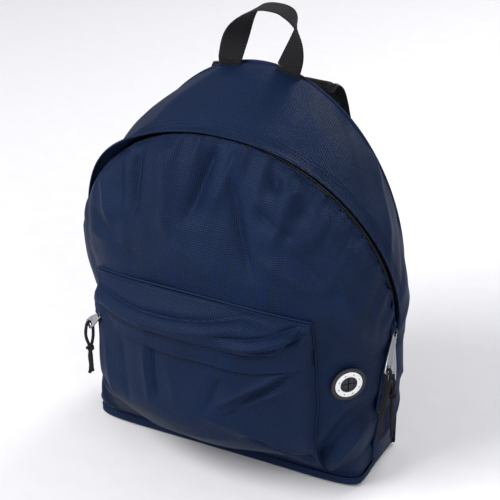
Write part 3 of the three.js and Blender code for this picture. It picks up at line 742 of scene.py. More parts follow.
def panel_grid(u, v):
    """(x, z) of the front panel. u runs from left (-1) to right (1), v from the base (0) to the arch (1)."""
    angle = 90 - u * (90 - ZIP_END)
    top = zip_point(angle, np.full(angle.shape, ZIP_ZONE - 2.5), np.full(angle.shape, 1.0))
    foot_x = BASE_HALF * np.sin(np.pi / 2 * u)
    foot_z = SEAM_Z
    return foot_x + (top[..., 0] - foot_x) * v, foot_z + (top[..., 2] - foot_z) * v, top


def rim_gathers(u, v):
    """Puckers where the cloth is sewn to the zip tape: short ones all along, longer ones near the top."""
    arc = u * math.radians(90 - ZIP_END) * ARCH_RADIUS
    down = (1 - v) * 200
    short = np.sin(TAU * arc / 11 + 2.2 * np.sin(arc / 31)) * np.exp(-down / 9) * 0.9
    long = np.sin(TAU * arc / 27 + 1.9 * np.sin(arc / 43)) * np.exp(-down / 26) * 1.8
    return np.maximum(short + long, -0.25 - down / 7) + 1.4 * bump((down - 9) / 8)


def hanging_folds(x, z):
    """Folds that hang from the arch, and the long crease right of the middle."""
    return folds(
        x,
        z,
        ((-118, 318), (-98, 256), 10, 4.2),
        ((-104, 330), (-88, 280), 8, -3.0),
        ((-78, 338), (-70, 276), 9, -6.0),
        ((-50, 352), (-26, 270), 15, 6.0),
        ((6, 360), (-12, 284), 11, -8.5),
        ((32, 360), (16, 300), 10, 5.0),
        ((26, 336), (60, 244), 8, -6.0),
        ((60, 354), (74, 322), 8, -5.5),
        ((92, 344), (78, 276), 13, 5.5),
        ((56, 306), (96, 284), 8, -4.4),
        ((124, 326), (112, 278), 10, 3.8),
        ((108, 334), (98, 300), 7, -3.4),
        ((144, 282), (128, 232), 10, 2.6),
        ((-30, 262), (30, 238), 18, 2.4),
        ((-130, 262), (-60, 226), 12, -3.0),
        ((96, 272), (150, 222), 12, -3.4),
        ((70, 262), (124, 232), 12, 3.2),
        ((138, 250), (156, 176), 8, 2.4),
        ((-128, 238), (-70, 246), 10, 2.2),
    )


def corner_creases(x, z):
    """Creases of the lower corners and beside the pocket."""
    right = folds(
        x,
        z,
        ((118, 206), (150, 158), 10, -2.4),
        ((110, 30), (152, 100), 10, -8.5),
        ((112, 52), (146, 116), 10, 4.0),
    )
    both = ((x * side, z) for side in (-1, 1))
    return right + sum(
        folds(
            across,
            height,
            ((120, 14), (154, 70), 7, 5.0),
            ((124, 44), (156, 92), 7, -4.2),
            ((128, 16), (156, 40), 6, -3.2),
            ((120, 150), (134, 216), 12, -2.6),
        )
        for across, height in both
    )


FRONT_SLACK = 1.5  # how much deeper than taut the hanging folds are


def front_cloth():
    u = np.linspace(-1, 1, 241)
    v = 1 - (1 - np.linspace(0, 1, 161)) ** 1.3
    v, u = np.meshgrid(v, u, indexing="ij")
    x, z, top = panel_grid(u, v)
    z_inside = np.minimum(z, RIM_TOP[2] - 0.5)
    P = stack(x, front_y(x, z_inside), z)
    slack = smooth((-u - 0.45) / 0.3) * smooth((1 - np.abs(u)) / 0.06)
    P[..., 0] += 11 * slack * smooth((z - 18) / 40) * smooth((170 - z) / 70)
    near_rim = smooth((v - 0.93) / 0.07)[..., None]
    P = P * (1 - near_rim) + (top + P - P[-1:]) * near_rim
    N = facing(P, (0, -1, 0.05))
    side = smooth((1 - np.abs(u)) / 0.05)
    push = rim_gathers(u, v) * smooth((1 - np.abs(u)) / 0.02)
    push = push + FRONT_SLACK * hanging_folds(x, z) * smooth((1 - v) / 0.05) * side
    push = push + 1.0 * ripple(x, z, 90, 3) * side * smooth((1 - v) / 0.1) * smooth(v / 0.08)
    push = push + corner_creases(x, z) * smooth((1 - np.abs(u)) / 0.03) * smooth(v / 0.06)
    return P + N * push[..., None], N


front_P, front_N = front_cloth()
front = cloth_sheet("front_panel_cloth", front_P, NAVY, (0, -1, 0.1))
front_blend(front, "navy_fabric", "front_panel_lower", "front_panel_fold", "front_panel_upper")

rim_i = np.full(300, front_P.shape[0] - 1 - 5.0)
rim_j = np.linspace(4, front_P.shape[1] - 5, 300)
rim_row = stitches(
    "front_rim_stitches", sample(front_P, rim_i, rim_j), sample(front_N, rim_i, rim_j), THREAD, lift=0.3
)
front_blend(rim_row, "navy_fabric")


# ---- Gusset with its rain flap, and the sides below the zip ----

FLAP_ROWS = 11
GUSSET_ROWS = 46


def flap_reach(degrees):
    """How far the flap's edge stands in front of the zip's middle line: less towards the zip's ends."""
    from_right = degrees - ZIP_END
    from_left = 180 - ZIP_END - degrees
    upper = smooth((from_right - 60) / 50) * smooth(from_left / 22)
    return -5.4 + 5.8 * smooth((from_right - 2) / 30) + 4.6 * upper


def flap_stand(degrees):
    """How high the flap's edge stands off the zip: it gapes at the upper left."""
    return 4.6 + 8.0 * bump((degrees - 140) / 18) + 0.5 * np.sin(np.radians(degrees * 7))


GUSSET_FOLDS = (
    (-8, 30, 2.0),
    (10, 60, -2.2),
    (28, 75, 2.4),
    (44, 70, -1.6),
    (62, 50, 1.4),
    (112, -40, 1.4),
    (134, -60, -2.0),
    (154, -70, 2.2),
    (172, -50, -1.8),
    (188, -30, 2.0),
)


def facing_out(P):
    """Unit normals that point away from the middle of the bag."""
    n = grid_normals(P)
    return n * np.sign((n * (P - np.array([0, 0, 190.0]))).sum(-1).mean())


def gusset_cloth():
    degrees = np.linspace(ZIP_END - 0.5, 180.5 - ZIP_END, 301)
    across = np.linspace(1, 0, GUSSET_ROWS)
    rows = [gusset_point(degrees, np.full(degrees.shape, t), 0) for t in across]
    reach, stand = flap_reach(degrees), flap_stand(degrees)
    for t in np.linspace(0, 1, FLAP_ROWS)[1:]:
        rows.append(zip_point(degrees, -ZIP_ZONE + (reach + ZIP_ZONE) * t, stand * smooth(t * 1.2) * 0.97))
    P = np.stack(rows)
    across = np.concatenate([across, -np.linspace(0, 1, FLAP_ROWS)[1:] * 0.12])[:, None]
    angle = degrees[None]
    arc = np.radians(angle) * ARCH_RADIUS
    N = facing_out(P)
    middle = smooth(across / 0.12) * smooth((1 - across) / 0.12)
    push = 1.3 * ripple(arc, across * 100, 75, 11) * middle - 1.4 * bump((across - 1) / 0.03)
    push = push + 4.5 * bump((angle - 126) / 24) * smooth((1 - across) / 0.6) * smooth((across + 0.1) / 0.2)
    push = push + 0.6 * smooth((0.1 - across) / 0.03) * bump((across + 0.12) / 0.03)
    for place, lean_mm, height in GUSSET_FOLDS:
        line = np.radians(place) * ARCH_RADIUS + (across - 0.5) * lean_mm
        push = push + height * bump((arc - line) / 9) * middle
    return P + N * push[..., None], N


gusset_P, gusset_N = gusset_cloth()
gusset = cloth_sheet("gusset_cloth", gusset_P, NAVY, gusset_N)
on(gusset, "bag", "navy_fabric", "gusset_band", "rain_flap")


def gusset_line(name, from_hem, first, last):
    """Stitches that follow the flap's hem at a distance."""
    j = np.linspace(first, last, 400)
    hem_to_row = arc_lengths(gusset_P[::-1], 0)
    rows = np.arange(gusset_P.shape[0])[::-1]
    columns = np.round(j).astype(int)
    i = np.array([np.interp(from_hem, hem_to_row[:, c], rows) for c in columns])
    path = sample(gusset_P, i, j)
    on(stitches(name, path, sample(gusset_N, i, j), THREAD, lift=0.25), "bag", "navy_fabric")


gusset_line("flap_hem_stitches_1", 17.0, 30, 270)
gusset_line("flap_hem_stitches_2", 21.0, 30, 270)
gusset_line("flap_edge_stitches", 2.2, 18, 283)


def side_cloth(side):
    z = np.concatenate([np.linspace(SEAM_Z, RIM_END[2] + 1.5, 80), RIM_END[2] + np.array([3.0, 5.0, 7.5])])
    across = np.linspace(0, 1, 40)
    z, across = np.meshgrid(z, across, indexing="ij")
    P = side_point(z, across, side)
    push = fold(across * 55, z, (4, 30), (48, 74), 7, 2.4) + fold(across * 55, z, (2, 60), (40, 96), 7, -2.0)
    push = push + fold(across * 55, z, (8, 122), (50, 92), 7, 1.8)
    push = push + 3.0 * np.sin(np.pi * across) * smooth((z - SEAM_Z) / 40) * smooth((RIM_END[2] - z) / 40)
    push = push - 1.2 * bump((across - 1) / 0.04) - 1.2 * bump((z - RIM_END[2]) / 2.5)
    push = push - 3.4 * smooth((z - RIM_END[2] - 1) / 2)
    P[..., 0] += side * push * smooth((z - SEAM_Z) / 6)
    return P


for name, side in (("right", 1), ("left", -1)):
    P = side_cloth(side)
    N = facing(P, (side, 0, 0))
    on(cloth_sheet(f"side_cloth_{name}", P, NAVY, (side, 0, 0)), "bag", "navy_fabric", f"side_panel_{name}")
    j = np.linspace(1, 38, 60)
    i = np.full(60, 75.5)
    on(
        stitches(f"side_seam_stitches_{name}", sample(P, i, j), sample(N, i, j), THREAD, lift=0.25),
        "bag",
        "navy_fabric",
    )


# ---- Base ----


def base_outline():
    """Outline of the base from the back on the left, round the front, to the back on the right."""
    x = BASE_HALF * np.sin(np.linspace(-np.pi / 2, np.pi / 2, 121))
    front_edge = stack(x, front_y(x, np.full(x.shape, BASE_RIM)), 0)
    back_edge = BACK_Y - CLOTH - 0.3
    left, right = (-BASE_HALF, back_edge, 0), (BASE_HALF, back_edge, 0)
    return resample(np.vstack([left, front_edge, right]), 2.5)


def base_cloth():
    outline = base_outline()
    rows = [outline + [0, 0, z] for z in np.linspace(SEAM_Z, 4, 6)]
    for inset, z in ((0.3, 2.8), (1.1, 1.5), (2.4, 0.6), (4.4, 0.1), (9, 0.0), (20, 0.0), (36, 0.0)):
        rows.append(outline * [1 - inset / BASE_HALF, 1 - inset / 49, 1] + [0, 0, z])
    P = np.stack(rows)
    x, z = P[..., 0], P[..., 2]
    push = 0.4 + 0.6 * ripple(x, P[..., 1] * 2, 70, 21) + 1.5 * np.sin(np.pi * np.clip(z / SEAM_Z, 0, 1))
    outward = unit(P * [1, 1, 0] + [0, 1e-6, 0])
    right_corner = smooth((x - 40) / 90) * smooth((10 - P[..., 1]) / 40)
    lift = (push + 4.5 * right_corner) * smooth(z / 4)
    return P + outward * lift[..., None] * [0.3, 0.8, 0] * (P[..., 1:2] < BACK_Y - 8)


base_P = base_cloth()
base = cloth_sheet("base_cloth", base_P, NAVY, unit(base_P * [1, 1, 0] - [0, 0, 3]))
on(base, "bag", "navy_fabric", "base_panel")
base_floor = plate(
    "base_floor_cloth",
    [box_outline(-BASE_HALF + 6, BASE_FRONT + 5, BASE_HALF - 6, BACK_Y - 4, 8)],
    0.1,
    1.3,
    0.3,
    (np.zeros(3), *np.eye(3)),
    NAVY,
)
on(base_floor, "bag", "navy_fabric")


def piping(name, path, radius, material=NAVY, body="bag", slot_name="navy_fabric"):
    """A thin rolled seam edge along a path."""
    on(tube(name, resample(path, 1.2), radius, material, 8), body, slot_name)


piping("base_seam_roll", base_P[0, 6:-6] + [0, 0, 0.2], 0.8)


# ---- Front pocket ----

POCKET_STITCH_Z = 175.0
RIGHT_PLEAT_X = 88.0


def pocket_columns(count, edge=0.0):
    half = POCKET_HALF - edge
    return half * np.sin(np.linspace(-1, 1, count) * math.pi / 2 * 0.96) / math.sin(math.pi / 2 * 0.96)


def pocket_wrinkles(x, z):
    """Folds of the pocket's slack cloth."""
    return 1.2 * ripple(x, z * 1.4, 85, 5) + folds(
        x,
        z,
        ((-37, 158), (-33, 98), 3, -4.0),
        ((-46, 158), (-42, 90), 5, 2.6),
        ((98, 154), (30, 106), 5, 4.6),
        ((106, 152), (42, 98), 4, -4.2),
        ((100, 134), (42, 102), 4, 3.4),
        ((40, 140), (24, 100), 6, -3.2),
        ((56, 86), (114, 48), 8, 4.6),
        ((62, 74), (116, 36), 6, -7.5),
        ((78, 62), (118, 24), 7, 4.4),
        ((20, 96), (66, 78), 8, 2.4),
        ((-112, 88), (-86, 36), 8, -3.2),
        ((-100, 150), (-92, 66), 9, 2.6),
        ((-78, 154), (-70, 76), 7, -2.4),
        ((-20, 150), (-8, 96), 8, 1.8),
        ((-66, 50), (54, 68), 13, 2.2),
    )


def pocket_cloth():
    x = pocket_columns(221)
    z = np.linspace(POCKET_BOTTOM, POCKET_ZIP_Z - 6, 121)
    z, x = np.meshgrid(z, x, indexing="ij")
    P = stack(x, pocket_y(x, z), z)
    N = facing(P, (0, -1, 0))
    edge = smooth((POCKET_HALF - np.abs(x)) / 9) * smooth((z - POCKET_BOTTOM) / 8)
    edge = edge * smooth((POCKET_ZIP_Z - 5 - z) / 8)
    return P + N * (pocket_wrinkles(x, z) * edge)[..., None], N


pocket_P, pocket_N = pocket_cloth()
on(cloth_sheet("pocket_cloth", pocket_P, NAVY, (0, -1, 0)), "bag", "navy_fabric", "pocket_body")


def pocket_top():
    """The strip between the pocket's zip and its top seam, under the flap."""
    x, t = np.meshgrid(pocket_columns(91), np.linspace(0, 1, 17))
    z = POCKET_ZIP_Z + 6 + (pocket_seam(x) - POCKET_ZIP_Z - 6.5) * t
    return stack(x, pocket_y(x, z), z)


on(cloth_sheet("pocket_top_cloth", pocket_top(), NAVY, (0, -1, 0)), "bag", "navy_fabric", "pocket_top_strip")


def pocket_zip_ends():
    """Cloth folded over the zip's ends at the side seams."""
    for name, side in (("left", -1), ("right", 1)):
        x = side * np.linspace(POCKET_HALF - 10, POCKET_HALF, 10)
        x, z = np.meshgrid(x, POCKET_ZIP_Z + np.linspace(-9, 9, 13))
        P = stack(x, pocket_y(x, z) - 0.6, z)
        on(cloth_sheet(f"pocket_zip_end_{name}", P, NAVY, (0, -1, 0)), "bag", "navy_fabric")


pocket_zip_ends()


def flap_fold_z(x):
    """Height of the flap's stitched fold. It is drawn up in a pleat at the right corner."""
    return POCKET_STITCH_Z + 26 * smooth((x - RIGHT_PLEAT_X) / 26) - 3 * bump((x - 60) / 30)


def flap_hem_z(x):
    """Height of the flap's lower edge."""
    return 156.5 - 5 * bump((x - 66) / 30) + 5 * smooth((-x - 88) / 26) + 2 * smooth((x - 95) / 20)


def flap_cloth():
    x, t = np.meshgrid(pocket_columns(221, 0.6), np.linspace(0, 1, 71))
    top = pocket_seam(x) - 0.6
    z = top + (flap_hem_z(x) - top) * t
    edge = smooth((POCKET_HALF - np.abs(x)) / 12)
    above = z - flap_fold_z(x)
    tight = smooth((x - 40) / 40)
    puff = smooth(above / (9 - 4 * tight) + 0.35) * smooth((top - z) / 16)
    overhang = 2.2 + 5.6 * tight
    stand = 2.0 + 1.6 * smooth(t / 0.2) + puff * overhang * edge
    P = stack(x, pocket_y(x, z) - stand, z)
    N = facing(P, (0, -1, 0))
    push = 0.8 * ripple(x, z * 2, 60, 8)
    push = push + folds(
        x,
        z,
        ((-116, 194), (74, 211), 5, -5.2, -7),
        ((-112, 184), (60, 198), 7, 3.4, -8),
        ((34, 187), (112, 203), 3, -4.4, -3),
        ((40, 180), (112, 196), 5, 4.0, -4),
        ((66, 177), (112, 192), 3, -4.0, -4),
        ((-104, 178), (-84, 158), 6, -1.6),
        ((-46, 200), (-40, 164), 7, 1.4),
    )
    push = push * smooth(t / 0.12) * smooth((1.04 - t) / 0.08) * smooth((POCKET_HALF - np.abs(x)) / 5)
    push = push - 0.7 * bump((above + 0.5) / 1.2) * edge + 0.5 * bump((t - 0.975) / 0.03)
    return P + N * push[..., None], N


def flap_blend(obj, *nodes):
    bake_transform(obj)
    mark(obj, "navy_fabric", *nodes)


flap_P, flap_N = flap_cloth()
flap_blend(cloth_sheet("pocket_flap_cloth", flap_P, NAVY, (0, -1, 0), 1.2), "pocket_flap")


def flap_row(name, heights, low=-108, high=108):
    """Stitches across the flap at a height for each x."""
    x = np.linspace(low, high, 260)
    j = np.interp(x, flap_P[0, :, 0], np.arange(flap_P.shape[1]))
    rows = np.arange(flap_P.shape[0])
    columns = np.round(j).astype(int)
    i = np.array([np.interp(-h, -flap_P[:, c, 2], rows) for h, c in zip(heights(x), columns)])
    flap_blend(stitches(name, sample(flap_P, i, j), sample(flap_N, i, j), THREAD, lift=0.3))


flap_row("flap_fold_stitches", lambda x: flap_fold_z(x) - 1.5, -100, 84)
flap_row("flap_fold_stitches_low", lambda x: flap_fold_z(x) - 4.5, -100, 80)
flap_row("pocket_top_stitches", lambda x: pocket_seam(x) - 3.4)


def pocket_edge(side, inset, name):
    """Stitches down a side seam of the pocket."""
    z = np.linspace(POCKET_BOTTOM + 3, 200, 120)
    x = np.full(120, side * (POCKET_HALF - inset))
    path = stack(x, pocket_y(x, z) - 0.2, z)
    outward = unit(stack(np.full(120, side * 0.5), -1, 0 * z))
    on(stitches(name, path, outward, THREAD, lift=0.25), "bag", "navy_fabric")


def pocket_seam_rolls():
    """Rolled edges where the pocket is sewn on: both sides and the top."""
    z = np.linspace(POCKET_BOTTOM, pocket_seam(POCKET_HALF) - 0.5, 90)
    for name, side in (("right", 1), ("left", -1)):
        x = np.full(90, side * (POCKET_HALF + 0.4))
        piping(f"pocket_side_roll_{name}", stack(x, front_y(x, z) - 1.6, z), 1.15)
        pocket_edge(side, -3.4, f"pocket_side_stitches_{name}")
    x = np.linspace(-POCKET_HALF, POCKET_HALF, 120)
    z = pocket_seam(x) + 0.6
    piping("pocket_top_roll", stack(x, front_y(x, z) - 1.4, z), 1.2)


pocket_seam_rolls()


# ---- Zips ----

TAPE_DEPTH = 2.0
TOOTH_PITCH = 1.45
TOOTH_OUT = 1.35  # from the zip's middle line to the middle of a tooth
TOOTH = bead(3.4, 0.72)
POCKET_ZIP_REACH = 27.0  # degrees from the pocket's middle to the zip's ends


def main_zip(end, side):
    """Tape and teeth of one half: side is 1 for the front half and -1 for the half sewn under the gusset."""
    degrees = np.linspace(ZIP_END, 180 - ZIP_END, 260)
    reach = 9.6 if side < 0 else 6.8
    P = np.stack(
        [
            zip_point(degrees, np.full(260, side * a), np.full(260, -TAPE_DEPTH - 0.03 * a))
            for a in np.linspace(0.5, reach, 8)
        ]
    )
    tape = cloth_sheet(f"main_zip_tape_{end}_cloth", P, ZIP_TAPE, facing_out(P), 0.6)
    count = int(math.radians(180 - 2 * ZIP_END - 3) * ARCH_RADIUS / TOOTH_PITCH)
    shift = 0.5 if side > 0 else 0.0
    at = ZIP_END + 1.5 + (np.arange(count) + shift) * math.degrees(TOOTH_PITCH / ARCH_RADIUS)
    centre = zip_point(at, np.full(count, side * TOOTH_OUT), np.full(count, -1.0))
    a = np.radians(at)[:, None]
    outward = np.cos(a) * np.array([1.0, 0, 0]) + np.sin(a) * ARCH_UP
    cross_zip = np.tile(ARCH_FORWARD, (count, 1))
    turned_by = (cross_zip, np.cross(outward, cross_zip), outward)
    teeth = scatter(f"main_zip_teeth_{end}", *TOOTH, centre, *turned_by, ZIP_COIL)
    return (tape, f"main_zip_tape_{end}"), (teeth, f"main_zip_chain_{end}")


for obj, node in main_zip("rear", -1):
    on(obj, "bag", "zip_black", node)
for obj, node in main_zip("front", 1):
    front_blend(obj, "zip_black", node)


def pocket_zip_point(degrees, z, out):
    r = POCKET_RADIUS + CLOTH + 0.8 + out
    a = np.radians(degrees)
    return stack(r * np.sin(a), POCKET_AXIS_Y - r * np.cos(a), z)


def pocket_zip(end, side):
    degrees = np.linspace(-POCKET_ZIP_REACH, POCKET_ZIP_REACH, 90)
    heights = POCKET_ZIP_Z + side * np.linspace(0.5, 8, 6)
    P = np.stack([pocket_zip_point(degrees, z, -TAPE_DEPTH) for z in heights])
    tape = cloth_sheet(f"pocket_zip_tape_{end}_cloth", P, ZIP_TAPE, (0, -1, 0), 0.6)
    on(tape, "bag", "zip_black", f"pocket_zip_tape_{end}")
    step = math.degrees(TOOTH_PITCH / POCKET_RADIUS)
    last = POCKET_ZIP_REACH - 0.2
    at = np.arange(-last + (step / 2 if side > 0 else 0), last, step)
    outward = unit(pocket_zip_point(at, POCKET_ZIP_Z, 1) - pocket_zip_point(at, POCKET_ZIP_Z, 0))
    up = np.tile([0, 0, float(side)], (len(at), 1))
    centre = pocket_zip_point(at, POCKET_ZIP_Z + side * TOOTH_OUT, -1.0)
    teeth = scatter(f"pocket_zip_teeth_{end}", *TOOTH, centre, up, np.cross(outward, up), outward, ZIP_COIL)
    on(teeth, "bag", "zip_black", f"pocket_zip_chain_{end}")


pocket_zip("lower", -1)
pocket_zip("upper", 1)


# ---- Sliders, pull tabs and cords ----

CORD_RADIUS = 1.6
PLATE_TOP = 1.5


def slider(name, frame):
    """Two shaped plates joined by a post, with a bridge that holds the pull tab's bar."""
    origin, X, Y, Z = frame
    shield = rounded([(6, -3.4), (6, 3.4), (1, 4.8), (-5.6, 3.6), (-5.6, -3.6), (1, -4.8)], 2.2)
    pieces = [
        plate(name + "_a", [shield], 0.25, PLATE_TOP, 0.35, frame, ENAMEL),
        plate(name + "_b", [shield], -3.9, -2.8, 0.35, frame, ENAMEL),
        plate(name + "_c", [box_outline(2.8, -0.5, 5.2, 0.5, 0.4)], -3.0, 0.6, 0.1, frame, ENAMEL),
    ]
    half = [(3.6, 0, 1.2), (3.0, 0, 3.4), (1.6, 0, 4.3)]
    arch = curve_through([(-x, y, z) for x, y, z in half] + half[::-1], 0.4)
    path = origin + arch[:, :1] * X + arch[:, 1:2] * Y + arch[:, 2:] * Z
    angle = np.arange(12) / 12 * TAU
    square = np.stack([0.95 * np.cos(angle), 0.5 * np.sin(angle)], -1)
    square = np.sign(square) * np.abs(square / [0.95, 0.5]) ** 0.6 * [0.95, 0.5]
    section = np.broadcast_to(square, (len(path), 12, 2))
    first, second = np.tile(Y, (len(path), 1)), path_frames(path, Y)[2]
    pieces.append(ring_sweep(name + "_d", path, first, second, section, ENAMEL))
    return shade(join(name, pieces))


def tab_window(length, half_width, foot):
    """The outline of the thin middle of a tab, wider towards its foot."""
    half = [(-8.5, half_width), (-length * 0.6, half_width + 1.8), (-foot, half_width + 1.8)]
    return rounded([(-8.5, -half_width), *half, *((x, -y) for x, y in half[:0:-1])], 0.9)


def pull_tab(name, frame, length):
    """A flat tab with an eye for the slider's bridge and a square hole for the cord."""
    wide = 5.0
    half = [(0.9, 2.6), (-7, 3.3), (-length * 0.62, wide), (-length, wide)]
    outer = rounded([(0.9, -2.6), *half, *((x, -y) for x, y in half[:0:-1])], 1.6)
    eye = box_outline(-5.4, -1.5, -0.5, 1.5, 0.7)
    hole = box_outline(-length + 2, -3.1, -length + 9, 3.1, 0.8)
    recess, web = tab_window(length, 1.6, length - 10.6), tab_window(length, 1.9, length - 10.2)
    rim_plate = plate(name + "_a", [outer, eye, recess, hole], -0.9, 0.9, 0.4, frame, NICKEL)
    middle = plate(name + "_b", [web], -0.35, 0.35, 0.1, frame, NICKEL)
    return shade(join(name, [rim_plate, middle]))


def knot(name, centre, axis, side, radius=CORD_RADIUS):
    """A tight overhand knot: a cord that winds three times through its own loop."""
    t = np.linspace(0, TAU, 72, endpoint=False)[:, None]
    third = np.cross(axis, side)
    r = 2.0 + 1.1 * np.cos(3 * t)
    path = centre + r * np.cos(2 * t) * side + r * np.sin(2 * t) * third + 1.8 * np.sin(3 * t) * axis
    closed = np.vstack([path, path[:2]])
    return tube(name, closed, radius, CORD, 9, side + 0.3 * axis, lay=0.12, lay_pitch=2.4)


def pull_cord(name, eye, outward, loop, ends, sway, drift):
    """A loop through the tab's hole, a knot and two cut ends that hang below it."""
    along = np.cross([0, 0, 1.0], outward)

    def at(down, out, side):
        return eye - [0, 0, down] + outward * out + along * side

    knot_at = at(loop, 0.6, drift)
    over = [at(loop * 0.55, 3.4, drift * 0.45 - 2.6), at(1, 3.0, -0.9), at(-1.9, 0, 0)]
    under = [at(1, -2.8, 0.9), at(loop * 0.55, -1.4, drift * 0.45 + 2.8)]
    ring = [knot_at, *over, *under, knot_at]
    pieces = [tube(name + "_a", curve_through(ring, 0.7), CORD_RADIUS, CORD, 9, lay=0.14, lay_pitch=2.6)]
    pieces.append(knot(name + "_b", knot_at, np.array([0, 0, 1.0]), along))
    for key, side, extra in (("c", 1, 0.0), ("d", -1, 5.0)):
        length = ends + extra
        path = curve_through(
            [
                knot_at,
                at(loop + length * 0.35, 0.9, drift + side * 1.9 + sway * 0.2),
                at(loop + length * 0.7, 0.5, drift + side * 1.6 + sway * 0.7),
                at(loop + length, 0.9, drift + side * 3.0 + sway),
            ],
            0.7,
        )
        taper = np.full(len(path), CORD_RADIUS)
        taper[-4:] = CORD_RADIUS * np.array([1.05, 1.25, 1.15, 0.7])
        pieces.append(tube(name + "_" + key, path, taper, CORD, 9, lay=0.12, lay_pitch=2.4))
    return join(name, pieces)


def tab_frame(lift, swing, roll):
    """The bar, directions and length of a tab, from the joints it turns on. It lies rolled on the cloth."""
    bar = np.array(joints[lift]["pos_m"]) / MM
    eye = np.array(joints[swing]["pos_m"]) / MM
    X = unit(bar - eye)
    Y = unit(np.array(joints[lift]["axis"], float))
    Y = unit(Y - (Y @ X) * X)
    Z = np.cross(X, Y)
    turn = math.radians(roll)
    Y, Z = math.cos(turn) * Y + math.sin(turn) * Z, math.cos(turn) * Z - math.sin(turn) * Y
    return (bar, X, Y, Z), eye, float(np.linalg.norm(bar - eye)) + 3.5


PULL_NAMES = {
    "a": ("pull_tab_a_lift", "pull_cord_a_swing", "tab_a", "cord_a", -30.0),
    "b": ("pull_tab_b_lift", "pull_cord_b_swing", "tab_b", "cord_b", -38.0),
    "pocket": ("pocket_tab_lift", "pocket_cord_swing", "pocket_tab", "pocket_cord", 0.0),
}


def pull(key, slider_body, slider_node, tab_node, cord_node, origin, forward, outward, cord_shape):
    X = unit(forward - (forward @ outward) * outward)
    frame = (origin, X, np.cross(outward, X), outward)
    on(slider(slider_node + "_metal", frame), slider_body, "pull_metal", slider_node)
    lift, swing, tab_body, cord_body, roll = PULL_NAMES[key]
    placed, eye, length = tab_frame(lift, swing, roll)
    on(pull_tab(tab_node + "_metal", placed, length), tab_body, "pull_metal", tab_node)
    flat_out = unit(np.array(joints[swing]["axis"], float))
    on(pull_cord(cord_node + "_braid", eye, flat_out, *cord_shape), cord_body, "black_webbing", cord_node)


def main_pull(key, slider_body, cord_shape):
    """The slider stands where its tab's bar is on the arc."""
    bar = np.array(joints[PULL_NAMES[key][0]]["pos_m"]) / MM - ARCH_CENTRE
    degrees = math.degrees(math.atan2(bar @ ARCH_UP, bar[0]))
    here, ahead = zip_point(degrees, 0, 0), zip_point(degrees + 1, 0, 0)
    outward = unit(zip_point(degrees, 0, 1) - here)
    nodes = (f"zip_slider_{key}", f"pull_tab_{key}", f"pull_cord_{key}")
    pull(key, slider_body, *nodes, here, ahead - here, outward, cord_shape)


main_pull("a", "slider_a", (38, 24, -2.0, -14.0))
main_pull("b", "bag", (20, 46, 6.0, 2.0))


def pocket_pull():
    bar = np.array(joints["pocket_tab_lift"]["pos_m"]) / MM
    degrees = math.degrees(math.atan2(bar[0], POCKET_AXIS_Y - bar[1]))
    here = pocket_zip_point(degrees, POCKET_ZIP_Z, 0)
    forward = pocket_zip_point(degrees + 1, POCKET_ZIP_Z, 0) - here
    outward = unit(pocket_zip_point(degrees, POCKET_ZIP_Z, 1) - here)
    nodes = ("pocket_slider", "pocket_pull_tab", "pocket_pull_cord")
    pull("pocket", "pocket_zip_slider", *nodes, here, forward, outward, (28, 26, 0.0, 0.0))


pocket_pull()


# ---- Cable port ----

PORT_Z = 128.0
PORT_ANGLE = 29.5


def front_point(z, degrees):
    """The front panel by height and by angle from its right edge."""
    a = math.radians(degrees)
    e = 2 / float(front_power(z))
    half, y = (float(v) for v in rim(z))
    x = float(lean(z)) + half * math.cos(a) ** e
    return np.array([x, y - float(front_depth(z)) * math.sin(a) ** e, z])


def port_frame():
    up = unit(front_point(PORT_Z + 4, PORT_ANGLE) - front_point(PORT_Z - 4, PORT_ANGLE))
    side = front_point(PORT_Z, PORT_ANGLE + 2) - front_point(PORT_Z, PORT_ANGLE - 2)
    outward = unit(np.cross(up, side))
    return front_point(PORT_Z, PORT_ANGLE), up, np.cross(outward, up), outward


def turned(name, profile, frame, material, sides=96, dents=None):
    """A ring turned from a closed (radius, height) profile; dents gives a change of height around it."""
    origin, X, Y, Z = frame
    angle = (np.arange(sides) / sides * TAU)[:, None]
    profile = np.array(profile, float)
    r, h = profile[None, :, 0], profile[None, :, 1]
    if dents is not None:
        h = h + dents(angle, r)
    x, y, z = r * np.cos(angle), r * np.sin(angle), h + 0 * angle
    P = origin + x[..., None] * X + y[..., None] * Y + z[..., None] * Z
    faces = grid_faces(sides, len(profile), close_rows=True, close_columns=True).tolist()
    return shade(new_object(name, P, faces, material), 50)


def cable_port():
    frame = port_frame()
    outside = [(17.4, 2.3), (18, 2.7), (18, 3.3), (17.4, 3.9), (15.2, 3.9), (14.4, 3.5), (14.2, 2.9)]
    inside = [(8.5, 2.9), (8.3, 3.7), (7.6, 4.0), (7.0, 3.4), (7.0, -1.0), (14.2, -1.2), (14.2, 2.3)]
    rim_disc = turned("port_rubber_body", outside + inside, frame, RUBBER)
    neck = [(14.2, 2.4), (14.2, -7.2), (11.2, -7.2), (11.2, -1.0)]
    neck_ring = turned("port_rubber_neck", neck, frame, RUBBER)
    petals = [port_petal(k, frame) for k in range(4)]
    on(join("cable_port_rubber", [rim_disc, neck_ring, *petals]), "bag", "port_rubber", "cable_port_grommet")
    ring = [(8.7, 3.0), (8.7, 3.9), (9.1, 4.2), (13.5, 4.2), (13.95, 3.9), (13.95, 3.0)]
    on(turned("cable_port_light_ring", ring, frame, RING), "bag", "port_ring", "cable_port_ring")
    washer = [(14.6, -7.2), (18, -7.2), (18, -6.2), (17.6, -6.0), (14.6, -6.0)]
    on(turned("cable_port_back_ring", washer, frame, RUBBER), "bag", "port_rubber", "cable_port_washer")
    on(port_ticks(frame), "bag", "port_rubber")


